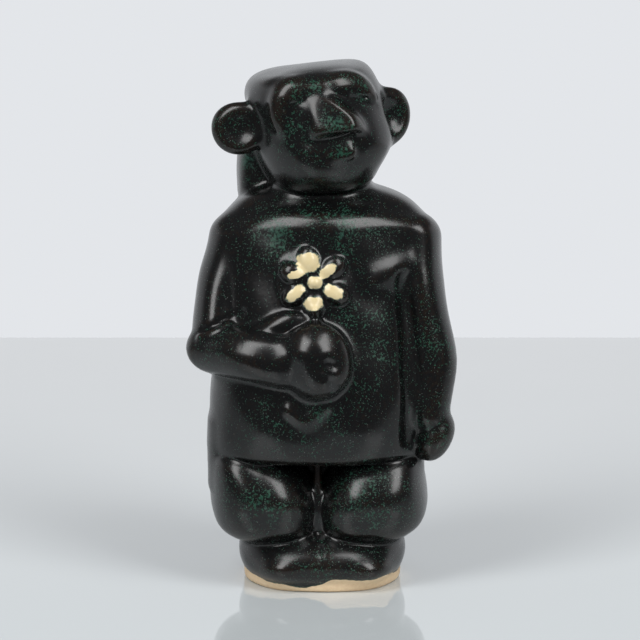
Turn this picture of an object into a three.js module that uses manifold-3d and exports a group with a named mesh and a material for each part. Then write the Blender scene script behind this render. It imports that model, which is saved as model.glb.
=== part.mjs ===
// A ceramic troll that holds a flower: hollow clay sections luted together with slip.
// Millimetres, +Z up, the face towards -Y. Right and left are the troll's own.
import * as THREE from 'three';
import { LoftGeometry } from 'three/addons/geometries/LoftGeometry.js';
import { mergeVertices } from 'three/addons/utils/BufferGeometryUtils.js';
import Module from 'manifold-3d';

const wasm = await Module();
wasm.setup();

// Clay
const SEAM = 0.3; // slip joint between two sections
const WALL = 6; // cast wall of the hollow sections
const DRAIN_RADIUS = 8; // hole that the slip is poured out of
const BITE = 3; // how deep a section reaches into the next one before it is cut back
const ROUNDING = 4; // edges at the ends of a section

// Base slab and feet
const BASE_HEIGHT = 4;
const BASE_ROUNDING = 1.2;
const BASE_HALF_WIDTH = 28.2;
const BASE_FRONT = 25.9;
const BASE_BACK = 23.4;
const FOOT_POWER = 2.2; // rounder than the other ovals
const FOOT_HEIGHT = 11.5;
const FOOT_SIDE = 0.9; // the foot sits a little to the left
const SOLE_HALF_WIDTH = 28.6;
const SOLE_FRONT = 28;
const SOLE_BACK = 24.4;
const TOE_HEIGHT = 5.2; // where the foot is widest
const FOOT_HALF_WIDTH = 29.8;
const FOOT_FRONT = 29.4;
const FOOT_BACK = 25;
const INSTEP_HALF_WIDTH = 28.6;
const INSTEP_FRONT = 25.2;
const INSTEP_BACK = 23.5;

// Legs: each oval is set out to the side of the middle
const LEG_HEIGHT = 30;
const LEG_POWER = 2.7; // squarer than the other ovals
const ANKLE_HALF_WIDTH = 16;
const ANKLE_FRONT = 22.6;
const ANKLE_BACK = 21.8;
const ANKLE_SIDE = 14.8;
const CALF_HEIGHT = 4.5;
const CALF_HALF_WIDTH = 18.7;
const CALF_FRONT = 26.8;
const CALF_BACK = 24;
const CALF_SIDE = 17.5;
const KNEE_HEIGHT = 12;
const KNEE_HALF_WIDTH = 19.9;
const KNEE_FRONT = 29.8;
const KNEE_BACK = 26.5;
const KNEE_SIDE = 18.7;
const THIGH_HEIGHT = 20;
const THIGH_HALF_WIDTH = 19.8;
const THIGH_FRONT = 28.8;
const THIGH_BACK = 27.2;
const THIGH_SIDE = 18.6;
const GROIN_HALF_WIDTH = 19.5;
const GROIN_FRONT = 24;
const GROIN_BACK = 27.4;
const GROIN_SIDE = 18.3;

// Torso: its ovals lie a little to one side or the other
const TORSO_HEIGHT = 95;
const HIP_HALF_WIDTH = 38.2;
const HIP_FRONT = 30.4;
const HIP_BACK = 27.4;
const HIP_SIDE = -1.6;
const BELLY_HEIGHT = 22;
const BELLY_HALF_WIDTH = 39.4;
const BELLY_FRONT = 34;
const BELLY_BACK = 28.5;
const BELLY_SIDE = 0.4;
const CHEST_HEIGHT = 66;
const CHEST_HALF_WIDTH = 35.5;
const CHEST_FRONT = 28.3;
const CHEST_BACK = 27;
const YOKE_HEIGHT = 82;
const YOKE_HALF_WIDTH = 36.5;
const YOKE_FRONT = 26.6;
const YOKE_BACK = 24.5;
const YOKE_SIDE = 1.6;
const SLOPE_HEIGHT = 89.5;
const SLOPE_HALF_WIDTH = 31.5;
const SLOPE_FRONT = 21;
const SLOPE_BACK = 20.5;
const SLOPE_SIDE = 1.2;
const COLLAR_HALF_WIDTH = 23;
const COLLAR_FRONT = 16.5;
const COLLAR_BACK = 16.5;
const COLLAR_SIDE = 0.6;

// Back: rolls of clay smoothed into the torso
const BLADE_RADIUS = 6.5;
const BLADE_LIFT = 1.7; // how far it stands out of the back
const BLADE_LOW_RISE = 60; // above the torso's bottom
const BLADE_LOW_SIDE = 13;
const BLADE_HIGH_RISE = 77;
const BLADE_HIGH_SIDE = 21;
const SEAT_RADIUS = 9;
const SEAT_LIFT = 2.2;
const SEAT_RISE = 10;
const SEAT_INNER = 9;
const SEAT_OUTER = 22;

// Neck
const NECK_HEIGHT = 2; // clear height between the torso and the head
const NECK_HALF_WIDTH = 17.5;
const NECK_FRONT = 16;
const NECK_BACK = 15;

// Head, in its own frame: turned about +Z and leaning to the right. Its ovals lie a little to the left.
const HEAD_HEIGHT = 41.2;
const HEAD_ROUNDING = 6;
const HEAD_POWER = 2.25; // rounder than the other ovals
const HEAD_SIDE = -1;
const HEAD_FORWARD = 2;
const HEAD_TURN = 11; // degrees
const HEAD_LEAN = 2.4; // degrees
const CHIN_HALF_WIDTH = 17;
const CHIN_FRONT = 22.8;
const CHIN_BACK = 15;
const CHIN_SIDE = 1.5;
const JAW_HEIGHT = 6.5;
const JAW_HALF_WIDTH = 20.8;
const JAW_FRONT = 27.4;
const JAW_BACK = 19;
const JAW_SIDE = 1.9;
const CHEEK_HEIGHT = 15;
const CHEEK_HALF_WIDTH = 24.1;
const CHEEK_FRONT = 30;
const CHEEK_BACK = 23.2;
const CHEEK_SIDE = 2.5;
const EYE_HEIGHT = 28;
const EYE_HALF_WIDTH = 24;
const EYE_FRONT = 27.8;
const EYE_BACK = 25.8;
const EYE_SIDE = 0.3;
const CROWN_HALF_WIDTH = 22.2;
const CROWN_FRONT = 24.4;
const CROWN_BACK = 25.4;
const CROWN_SIDE = -0.8;
const CROWN_RISE_LEFT = 0.05; // slope of the crown, which falls to the right and to the back
const CROWN_RISE_FRONT = 0.085;

// Hair
const MANE_DROP = 9; // how far it hangs below the chin
const MANE_TOP = 38;
const PARTING_HALF_WIDTH = 15;
const MANE_MIDDLE = 15; // how far its middle lies behind the head's axis
const MANE_SIDE = -4.2;
const NAPE_HEIGHT = 12; // above the chin, where the hair is widest
const NAPE_HALF_WIDTH = 20.6;
const MANE_THICKNESS = 25;
const MANE_TIP_HALF_WIDTH = 21.6;
const MANE_POWER = 5; // a block with round corners

// Ears
const EAR_HEIGHT = 21.8; // above the chin
const EAR_FORWARD = 3.5; // before the head's axis
const EAR_HALF_WIDTH = 9;
const EAR_HALF_THICKNESS = 5;
const EAR_FLARE = 20; // degrees that an ear sweeps back
const RIGHT_EAR_REACH = 6; // from the side of the head to the ear's middle
const RIGHT_EAR_HALF_HEIGHT = 9;
const RIGHT_EAR_TILT = 12; // degrees that it leans out
const LEFT_EAR_REACH = -0.3;
const LEFT_EAR_HALF_HEIGHT = 10.2;
const LEFT_EAR_TILT = 8;
const DISH_RIM = 3;
const DISH_DEPTH = 3.4;

// Face, hung from the brows
const BROW_HEIGHT = 39; // above the chin
const BROW_INNER = 2.2;
const BROW_OUTER = 16;
const BROW_RISE = 0.8;
const BROW_FALL = 5;
const BROW_RADIUS = 2;
const LID_DROP = 5.8; // from the brows to the lids
const LID_SIDE = 10;
const LID_HALF_WIDTH = 5;
const LID_HALF_HEIGHT = 2;
const LID_DEPTH = 1.8;
const BRIDGE_DROP = 4.5; // from the brows to the bridge of the nose
const NOSE_SIDE = 1.6;
const NOSE_LENGTH = 7; // from the bridge to the middle of the tip
const NOSE_BRIDGE_RADIUS = 4;
const NOSE_TIP_RADIUS = 7.8;
const NOSE_TIP_DEPTH = 4.8;
const NOSE_REACH = 1; // from the face to the middle of the tip
const MOUTH_DROP = 8; // from the middle of the nose's tip to the upper lip
const MOUTH_SIDE = 2; // the smile sits off the middle
const MOUTH_HALF_WIDTH = 8;
const MOUTH_SMILE = 1.6;
const UPPER_LIP_RADIUS = 1.6;
const LOWER_LIP_DROP = 4.7;
const LOWER_LIP_HALF_WIDTH = 5;
const LOWER_LIP_RADIUS = 2.4;

// Arms: each middle is given from the torso's side
const SHOULDER_DROP = 18; // below the collar
const RIGHT_SHOULDER_OVERHANG = -4; // from the torso's side to the middle of the arm
const LEFT_SHOULDER_OVERHANG = -2.4;
const SHOULDER_FORWARD = 3;
const SHOULDER_RADIUS = 8.4;
const SHOULDER_DEPTH = 15;
const UPPER_ARM_RISE = 57; // above the torso's bottom
const UPPER_ARM_OVERHANG = -0.9;
const UPPER_ARM_FORWARD = 8.5;
const UPPER_ARM_RADIUS = 8.7;
const UPPER_ARM_DEPTH = 13;

// Right arm, bent
const ELBOW_RISE = 40; // above the torso's bottom
const ELBOW_OVERHANG = -1.9;
const ELBOW_RADIUS = 9.2;
const ELBOW_DEPTH = 12;
const ELBOW_FORWARD = 14;
const FOREARM_RADIUS = 9.2;
const FOREARM_SIDE = 25; // its middle, from the figure's middle
const FOREARM_RISE = 40;
const WRIST_SIDE = 13;
const WRIST_RADIUS = 8.6;
const WRIST_DEPTH = 7.4;
const FOREARM_STANDOFF = 1; // from the belly to the middle of the forearm

// Right hand
const FIST_SIDE = -1.4;
const FIST_RISE = 38.4; // above the torso's bottom
const FIST_HALF_WIDTH = 10.6;
const FIST_HALF_HEIGHT = 13;
const FIST_HALF_DEPTH = 10.2;
const FINGER_RADIUS = 3;
const FINGER_INSET = 2.4; // from the fist's outline to the middle of the roll
const FINGER_START = 140; // degrees round the fist
const FINGER_END = -35;
const THUMB_RADIUS = 3.4;
const THUMB_ROOT_SIDE = 20;
const THUMB_ROOT_LIFT = 6.5; // above the forearm's middle
const THUMB_TIP_SIDE = 4.8;
const THUMB_TIP_LIFT = 12.6; // above the fist's middle

// Left arm, hanging
const HANGING_ELBOW_RISE = 35;
const HANGING_ELBOW_RADIUS = 8.6;
const HANGING_ELBOW_OVERHANG = 0.4;
const HANGING_ELBOW_DEPTH = 10.5;
const HANGING_WRIST_RISE = 16;
const HANGING_WRIST_RADIUS = 6.6;
const HANGING_WRIST_OVERHANG = -0.3;
const HANGING_WRIST_DEPTH = 8.5;
const HANGING_ELBOW_FORWARD = 13;
const HANGING_WRIST_FORWARD = 16;
const HAND_RISE = 8.2; // the middle of the palm above the torso's bottom
const HAND_OVERHANG = 2.8;
const HAND_HALF_WIDTH = 6.2;
const HAND_HALF_DEPTH = 8.5;
const HAND_HALF_HEIGHT = 9.2;
const HAND_TURN = 26; // degrees that its fingers point inwards

// Flower
const FLOWER_SIDE = -1.8;
const STEM_LENGTH = 2.2; // shown between the fist and the petals
const FLOWER_LEAN = 8; // degrees that it leans back with the chest
const PETAL_COUNT = 6;
const PETAL_START = 40; // degrees to the first petal
const PETAL_DISTANCE = 7.2;
const PETAL_LENGTH = 10;
const PETAL_WIDTH = 8.4;
const PETAL_THICKNESS = 8;
const CENTRE_RADIUS = 2.6;
const CENTRE_THICKNESS = 8.8;
const STEM_RADIUS = 1.7;
const BED_RADIUS = 13.4; // swelling of the chest under the petals
const BED_DEPTH = 4;
const BED_SINK = 1.6;

// Looks
const GLAZE = { color: 0x14171a, roughness: 0.25, metalness: 0 };
const YELLOW = { color: 0xf0dcaa, roughness: 0.35, metalness: 0 };
const CLAY = { color: 0xd9b182, roughness: 0.8, metalness: 0 };

// Heights of the stacked sections
const footBottom = BASE_HEIGHT + SEAM;
const legBottom = footBottom + FOOT_HEIGHT + SEAM;
const torsoBottom = legBottom + LEG_HEIGHT + SEAM;
const torsoTop = torsoBottom + TORSO_HEIGHT;
const headBottom = torsoTop + NECK_HEIGHT;
const fistTop = FIST_RISE + FIST_HALF_HEIGHT;
const flowerRise = fistTop + STEM_LENGTH + PETAL_LENGTH / 2 + PETAL_DISTANCE;

const SIDES = [['right', -1], ['left', 1]];
const radians = THREE.MathUtils.degToRad;
const point = (x, y, z) => new THREE.Vector3(x, y, z);

// Solids and cuts

const copyOf = (geometry) => new THREE.BufferGeometry().copy(geometry);

function solidOf(geometry) {
  const bare = copyOf(geometry).deleteAttribute('normal').deleteAttribute('uv');
  const merged = mergeVertices(bare, 1e-4);
  const triVerts = new Uint32Array(merged.index.array);
  const vertProperties = merged.attributes.position.array;
  return new wasm.Manifold(new wasm.Mesh({ numProp: 3, vertProperties, triVerts }));
}

function geometryOf(solid) {
  const { vertProperties, triVerts } = solid.getMesh();
  const geometry = new THREE.BufferGeometry();
  geometry.setAttribute('position', new THREE.BufferAttribute(vertProperties, 3));
  geometry.setIndex(new THREE.BufferAttribute(triVerts, 1));
  geometry.computeVertexNormals();
  return geometry;
}

// A cut can leave crumbs behind: the piece is the largest body
function largest(solid) {
  const bodies = solid.decompose();
  return bodies.reduce((best, body) => (body.volume() > best.volume() ? body : best));
}

function join(...geometries) {
  const solids = geometries.map(solidOf);
  return geometryOf(solids.reduce((whole, part) => whole.add(part)));
}

// Cuts a placed mesh back from geometries that are given in the figure's frame
function cut(mesh, ...cutters) {
  mesh.updateWorldMatrix(true, false);
  const toMesh = mesh.matrixWorld.clone().invert();
  let solid = solidOf(mesh.geometry);
  for (const cutter of cutters) {
    solid = solid.subtract(solidOf(copyOf(cutter).applyMatrix4(toMesh)));
  }
  mesh.geometry = geometryOf(largest(solid));
  return mesh;
}

// Columns: ovals stacked along Z

const POWER = 2.5; // squareness of an oval: 2 is an ellipse

// One oval: half its width, its reach to the front and to the back, and where its middle lies
const level = (z, half, front, back, side = 0, set = 0) => ({ z, half, front, back, side, set });

const sizesAlong = (stations, where, names) => new THREE.CubicInterpolant(
  stations.map((station) => station[where]),
  stations.flatMap((station) => names.map((name) => station[name])),
  names.length,
);

function levelAt(stations, z) {
  const names = ['half', 'front', 'back', 'side', 'set'];
  const [half, front, back, side, set] = sizesAlong(stations, 'z', names).evaluate(z);
  return level(z, half, front, back, side, set);
}

function ovalRing({ z, half, front, back, side, set }, power, count) {
  const bulge = (value) => Math.sign(value) * Math.abs(value) ** (2 / power);
  return Array.from({ length: count }, (_, i) => {
    const angle = (i / count) * 2 * Math.PI;
    const across = bulge(Math.cos(angle));
    const along = bulge(Math.sin(angle));
    return point(side + half * across, set + (along < 0 ? front : back) * along, z);
  });
}

// The edges at both ends are rounded. grow offsets the whole surface.
function column(stations, { grow = 0, power = POWER, edge = ROUNDING, sides = 32, rings = 8 } = {}) {
  const low = stations[0].z;
  const high = stations.at(-1).z;
  const bend = [0, 0.13, 0.5].map((share) => share * edge);
  const spread = Array.from({ length: rings + 1 }, (_, i) => i / rings);
  const heights = [
    ...bend.map((rise) => low + rise),
    ...spread.map((share) => THREE.MathUtils.lerp(low + edge, high - edge, share)),
    ...bend.map((rise) => high - rise).reverse(),
  ];
  const sections = heights.map((height) => {
    const fromEnd = Math.min(height - low, high - height, edge);
    const inset = edge - Math.sqrt(edge ** 2 - (edge - fromEnd) ** 2);
    const { half, front, back, side, set } = levelAt(stations, height);
    const z = THREE.MathUtils.mapLinear(height, low, high, low - grow, high + grow);
    const [width, fore, aft] = [half, front, back].map((size) => size - inset + grow);
    return ovalRing(level(z, width, fore, aft, side, set), power, sides);
  });
  return new LoftGeometry(sections, { capStart: true, capEnd: true });
}

// Where a column's front and its back lie at a place across and a height
function depthsOf(stations, x, z, power = POWER) {
  const { half, front, back, side, set } = levelAt(stations, z);
  const share = Math.min(Math.abs(x - side) / half, 1);
  const fullness = (1 - share ** power) ** (1 / power);
  return { front: set - front * fullness, back: set + back * fullness };
}

// Rolls: clay sausages with round ends along a curve

const ROLL_TIPS = [75, 40]; // degrees to the rings that round an end

// One point of a roll: its radius in the front view and its depth towards the viewer
const knot = (at, radius, depth = radius) => ({ at, radius, depth });

function roll(knots, { grow = 0, sides = 12, rings = 6 } = {}) {
  const path = new THREE.CatmullRomCurve3(knots.map(({ at }) => at));
  const spread = knots.map((each, i) => ({ ...each, share: i / (knots.length - 1) }));
  const sizes = sizesAlong(spread, 'share', ['radius', 'depth']);
  const ring = (share, past, shrink) => {
    const [radius, depth] = sizes.evaluate(share);
    const along = path.getTangent(share);
    const across = along.clone().cross(point(0, -1, 0)).normalize();
    const out = across.clone().cross(along);
    const middle = path.getPoint(share).addScaledVector(along, past * (Math.min(radius, depth) + grow));
    return Array.from({ length: sides }, (_, i) => {
      const angle = (i / sides) * 2 * Math.PI;
      return middle.clone()
        .addScaledVector(across, Math.cos(angle) * (radius + grow) * shrink)
        .addScaledVector(out, -Math.sin(angle) * (depth + grow) * shrink);
    });
  };
  const tips = ROLL_TIPS.map(radians);
  const sections = [
    ...tips.map((angle) => ring(0, -Math.sin(angle), Math.cos(angle))),
    ...Array.from({ length: rings + 1 }, (_, i) => ring(i / rings, 0, 1)),
    ...tips.map((angle) => ring(1, Math.sin(angle), Math.cos(angle))).reverse(),
  ];
  return new LoftGeometry(sections, { capStart: true, capEnd: true });
}

// Lumps and cutters

function ball(at, [halfWidth, halfDepth, halfHeight], { grow = 0, sides = 16, rings = 10 } = {}) {
  return new THREE.SphereGeometry(1, sides, rings)
    .rotateX(Math.PI / 2)
    .scale(halfWidth + grow, halfDepth + grow, halfHeight + grow)
    .translate(at.x, at.y, at.z);
}

const drain = (bottom, top) => new THREE.CylinderGeometry(DRAIN_RADIUS, DRAIN_RADIUS, top - bottom, 20)
  .rotateX(Math.PI / 2)
  .translate(0, 0, (bottom + top) / 2);

// Everything on one side of the middle plane, with half a seam beyond it
function halfSpace(side) {
  const reach = 4 * torsoTop;
  return new THREE.BoxGeometry(reach, reach, reach).translate(side * (reach / 2 - SEAM / 2), 0, 0);
}

// The columns' ovals

const baseLevels = [0, BASE_HEIGHT]
  .map((z) => level(z, BASE_HALF_WIDTH, BASE_FRONT, BASE_BACK, FOOT_SIDE));

const footLevels = [
  level(footBottom, SOLE_HALF_WIDTH, SOLE_FRONT, SOLE_BACK, FOOT_SIDE),
  level(footBottom + TOE_HEIGHT, FOOT_HALF_WIDTH, FOOT_FRONT, FOOT_BACK, FOOT_SIDE),
  level(footBottom + FOOT_HEIGHT, INSTEP_HALF_WIDTH, INSTEP_FRONT, INSTEP_BACK, FOOT_SIDE),
];

const legLevels = (side) => [
  level(legBottom, ANKLE_HALF_WIDTH, ANKLE_FRONT, ANKLE_BACK, side * ANKLE_SIDE),
  level(legBottom + CALF_HEIGHT, CALF_HALF_WIDTH, CALF_FRONT, CALF_BACK, side * CALF_SIDE),
  level(legBottom + KNEE_HEIGHT, KNEE_HALF_WIDTH, KNEE_FRONT, KNEE_BACK, side * KNEE_SIDE),
  level(legBottom + THIGH_HEIGHT, THIGH_HALF_WIDTH, THIGH_FRONT, THIGH_BACK, side * THIGH_SIDE),
  level(legBottom + LEG_HEIGHT, GROIN_HALF_WIDTH, GROIN_FRONT, GROIN_BACK, side * GROIN_SIDE),
];

const torsoLevels = [
  level(torsoBottom, HIP_HALF_WIDTH, HIP_FRONT, HIP_BACK, HIP_SIDE),
  level(torsoBottom + BELLY_HEIGHT, BELLY_HALF_WIDTH, BELLY_FRONT, BELLY_BACK, BELLY_SIDE),
  level(torsoBottom + CHEST_HEIGHT, CHEST_HALF_WIDTH, CHEST_FRONT, CHEST_BACK),
  level(torsoBottom + YOKE_HEIGHT, YOKE_HALF_WIDTH, YOKE_FRONT, YOKE_BACK, YOKE_SIDE),
  level(torsoBottom + SLOPE_HEIGHT, SLOPE_HALF_WIDTH, SLOPE_FRONT, SLOPE_BACK, SLOPE_SIDE),
  level(torsoTop, COLLAR_HALF_WIDTH, COLLAR_FRONT, COLLAR_BACK, COLLAR_SIDE),
];

const neckLevels = [torsoTop - 2 * BITE, headBottom + 2 * BITE]
  .map((z) => level(z, NECK_HALF_WIDTH, NECK_FRONT, NECK_BACK, HEAD_SIDE));

const headLevels = [
  level(0, CHIN_HALF_WIDTH, CHIN_FRONT, CHIN_BACK, CHIN_SIDE),
  level(JAW_HEIGHT, JAW_HALF_WIDTH, JAW_FRONT, JAW_BACK, JAW_SIDE),
  level(CHEEK_HEIGHT, CHEEK_HALF_WIDTH, CHEEK_FRONT, CHEEK_BACK, CHEEK_SIDE),
  level(EYE_HEIGHT, EYE_HALF_WIDTH, EYE_FRONT, EYE_BACK, EYE_SIDE),
  level(HEAD_HEIGHT, CROWN_HALF_WIDTH, CROWN_FRONT, CROWN_BACK, CROWN_SIDE),
];

const maneHalf = MANE_THICKNESS / 2;
const maneLevels = [
  level(-MANE_DROP, MANE_TIP_HALF_WIDTH, maneHalf, maneHalf, MANE_SIDE, MANE_MIDDLE),
  level(NAPE_HEIGHT, NAPE_HALF_WIDTH, maneHalf, maneHalf, MANE_SIDE, MANE_MIDDLE),
  level(MANE_TOP, PARTING_HALF_WIDTH, maneHalf, maneHalf, 0, MANE_MIDDLE),
];

// Places on the torso and the face

const onTorso = (x, rise, out = 0) => {
  const z = torsoBottom + rise;
  return point(x, depthsOf(torsoLevels, x, z).front - out, z);
};

const onBack = (x, rise, out = 0) => {
  const z = torsoBottom + rise;
  return point(x, depthsOf(torsoLevels, x, z).back + out, z);
};

const besideTorso = (side, rise, overhang, forward) => {
  const z = torsoBottom + rise;
  const oval = levelAt(torsoLevels, z);
  return point(oval.side + side * (oval.half + overhang), -forward, z);
};

const onFace = (x, z, out = 0) => point(x, depthsOf(headLevels, x, z, HEAD_POWER).front - out, z);

// The scene graph

const figure = new THREE.Group();
const headGroup = new THREE.Group();
headGroup.position.set(HEAD_SIDE, -HEAD_FORWARD, headBottom);
headGroup.rotation.set(0, -radians(HEAD_LEAN), radians(HEAD_TURN), 'ZYX');
figure.add(headGroup);
const flower = new THREE.Group();
flower.position.copy(onTorso(FLOWER_SIDE, flowerRise));
flower.rotation.x = -radians(FLOWER_LEAN);
figure.add(flower);

function piece(name, geometry, look, parent = figure) {
  const mesh = new THREE.Mesh(geometry, new THREE.MeshStandardMaterial(look));
  mesh.name = name;
  parent.add(mesh);
  return mesh;
}

function fromGroup(group, geometry) {
  group.updateWorldMatrix(true, false);
  return geometry.applyMatrix4(group.matrixWorld);
}

const fromHead = (geometry) => fromGroup(headGroup, geometry);

// The crown's slope, which fades out down to the eyes
function tilted(head) {
  const places = head.attributes.position;
  for (let i = 0; i < places.count; i += 1) {
    const share = THREE.MathUtils.smoothstep(places.getZ(i), EYE_HEIGHT, HEAD_HEIGHT);
    const rise = CROWN_RISE_LEFT * places.getX(i) - CROWN_RISE_FRONT * places.getY(i);
    places.setZ(i, places.getZ(i) + share * rise);
  }
  return head;
}

// Outsides of the sections that others are luted to. One seam larger, they cut the luted piece back.

const shoulderRise = TORSO_HEIGHT - SHOULDER_DROP;
const elbow = besideTorso(-1, ELBOW_RISE, ELBOW_OVERHANG, ELBOW_FORWARD);
const rightShoulder = besideTorso(-1, shoulderRise, RIGHT_SHOULDER_OVERHANG, SHOULDER_FORWARD);
const leftShoulder = besideTorso(1, shoulderRise, LEFT_SHOULDER_OVERHANG, SHOULDER_FORWARD);
const [rightUpperArm, leftUpperArm] = SIDES
  .map(([, side]) => besideTorso(side, UPPER_ARM_RISE, UPPER_ARM_OVERHANG, UPPER_ARM_FORWARD));
const leftElbow = besideTorso(1, HANGING_ELBOW_RISE, HANGING_ELBOW_OVERHANG, HANGING_ELBOW_FORWARD);
const leftWrist = besideTorso(1, HANGING_WRIST_RISE, HANGING_WRIST_OVERHANG, HANGING_WRIST_FORWARD);

const upperArmKnots = [
  knot(rightShoulder, SHOULDER_RADIUS, SHOULDER_DEPTH),
  knot(rightUpperArm, UPPER_ARM_RADIUS, UPPER_ARM_DEPTH),
  knot(elbow, ELBOW_RADIUS, ELBOW_DEPTH),
];
const forearmKnots = [
  knot(elbow, ELBOW_RADIUS, ELBOW_DEPTH),
  knot(onTorso(-FOREARM_SIDE, FOREARM_RISE, FOREARM_STANDOFF), FOREARM_RADIUS),
  knot(onTorso(-WRIST_SIDE, FIST_RISE, FOREARM_STANDOFF), WRIST_RADIUS, WRIST_DEPTH),
];
const leftArmKnots = [
  knot(leftShoulder, SHOULDER_RADIUS, SHOULDER_DEPTH),
  knot(leftUpperArm, UPPER_ARM_RADIUS, UPPER_ARM_DEPTH),
  knot(leftElbow, HANGING_ELBOW_RADIUS, HANGING_ELBOW_DEPTH),
  knot(leftWrist, HANGING_WRIST_RADIUS, HANGING_WRIST_DEPTH),
];

const legForm = (side, grow = 0) => (
  column(legLevels(side), { grow, power: LEG_POWER, sides: 20, rings: 5 })
);
const bladeForm = (side, grow) => roll([
  knot(onBack(side * BLADE_LOW_SIDE, BLADE_LOW_RISE, BLADE_LIFT - BLADE_RADIUS), BLADE_RADIUS),
  knot(onBack(side * BLADE_HIGH_SIDE, BLADE_HIGH_RISE, BLADE_LIFT - BLADE_RADIUS), BLADE_RADIUS),
], { grow, rings: 3 });
const seatForm = (side, grow) => roll([
  knot(onBack(side * SEAT_INNER, SEAT_RISE, SEAT_LIFT - SEAT_RADIUS), SEAT_RADIUS),
  knot(onBack(side * SEAT_OUTER, SEAT_RISE, SEAT_LIFT - SEAT_RADIUS), SEAT_RADIUS),
], { grow, rings: 3 });
const bedForm = (grow) => (
  fromGroup(flower, ball(point(0, BED_SINK, 0), [BED_RADIUS, BED_DEPTH, BED_RADIUS], { grow }))
);
const torsoForm = (grow = 0) => join(
  column(torsoLevels, { grow, sides: 36, rings: 10 }),
  bedForm(grow),
  ...SIDES.flatMap(([, side]) => [bladeForm(side, grow), seatForm(side, grow)]),
);
const neckForm = (grow = 0) => column(neckLevels, { grow, sides: 24, rings: 1 });
const headForm = (grow = 0, sides = 32, rings = 7) => tilted(
  column(headLevels, { grow, power: HEAD_POWER, edge: HEAD_ROUNDING, sides, rings }),
);
const maneForm = (grow = 0) => column(maneLevels, { grow, power: MANE_POWER, sides: 28, rings: 4 });
const upperArmForm = (grow = 0) => roll(upperArmKnots, { grow, sides: 16 });
const forearmForm = (grow = 0) => roll(forearmKnots, { grow, sides: 16, rings: 8 });
const leftArmForm = (grow = 0) => roll(leftArmKnots, { grow, sides: 16, rings: 8 });

const legRooms = SIDES.map(([, side]) => legForm(side, SEAM));
const torsoRoom = torsoForm(SEAM);
const neckRoom = neckForm(SEAM);
const headRoom = fromHead(headForm(SEAM));
const maneRoom = fromHead(maneForm(SEAM));
const upperArmRoom = upperArmForm(SEAM);
const forearmRoom = forearmForm(SEAM);
const leftArmRoom = leftArmForm(SEAM);

// The pieces

function makeBase() {
  const oval = column(baseLevels, { power: FOOT_POWER, edge: BASE_ROUNDING, rings: 1 });
  const slab = piece('base_slab', oval, CLAY);
  cut(slab, drain(-BITE, BASE_HEIGHT + BITE));
}

function makeFeetAndLegs() {
  const channel = drain(footBottom - BITE, torsoBottom);
  for (const [name, side] of SIDES) {
    const foot = piece(`${name}_foot`, column(footLevels, { power: FOOT_POWER, rings: 2 }), GLAZE);
    cut(foot, halfSpace(-side), channel);
    const leg = piece(`${name}_leg`, legForm(side), GLAZE);
    cut(leg, halfSpace(-side), channel);
  }
}

function makeTorso() {
  const cavity = column(torsoLevels, { grow: -WALL, sides: 20, rings: 5 });
  const mouthLevels = [torsoBottom - 2 * WALL, torsoBottom + 3 * WALL]
    .map((z) => level(z, HIP_HALF_WIDTH, HIP_FRONT, HIP_BACK, HIP_SIDE));
  const mouth = column(mouthLevels, { grow: -WALL, sides: 20, rings: 1 });
  const torso = piece('torso', torsoForm(), GLAZE);
  cut(torso, cavity, mouth, drain(torsoTop - 2 * WALL, torsoTop + WALL));
}

function makeHeadAndNeck() {
  const cavity = headForm(-WALL, 20, 5);
  const passage = drain(torsoTop - 2 * WALL, headBottom + 2 * WALL);
  const head = piece('head', headForm(), GLAZE, headGroup);
  cut(head, fromHead(cavity), passage);
  const neck = piece('neck', neckForm(), GLAZE);
  cut(neck, passage, torsoRoom, headRoom);
  const mane = piece('hair_mane', maneForm(), GLAZE, headGroup);
  cut(mane, headRoom, neckRoom, torsoRoom, upperArmRoom, leftArmRoom);
}

function makeEar(name, side, reach, halfHeight, tilt) {
  const oval = levelAt(headLevels, EAR_HEIGHT);
  const root = new THREE.Group();
  root.position.set(oval.side + side * (oval.half + reach), -EAR_FORWARD, EAR_HEIGHT);
  root.rotation.set(0, side * radians(tilt), side * radians(EAR_FLARE), 'ZYX');
  headGroup.add(root);
  const lobe = ball(point(0, 0, 0), [EAR_HALF_WIDTH, EAR_HALF_THICKNESS, halfHeight]);
  const hollow = [EAR_HALF_WIDTH - DISH_RIM, DISH_DEPTH, halfHeight - DISH_RIM];
  const dish = ball(point(0, -EAR_HALF_THICKNESS, 0), hollow, { sides: 14, rings: 8 });
  cut(piece(`${name}_ear`, lobe, GLAZE, root), headRoom, maneRoom, fromGroup(root, dish));
}

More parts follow.
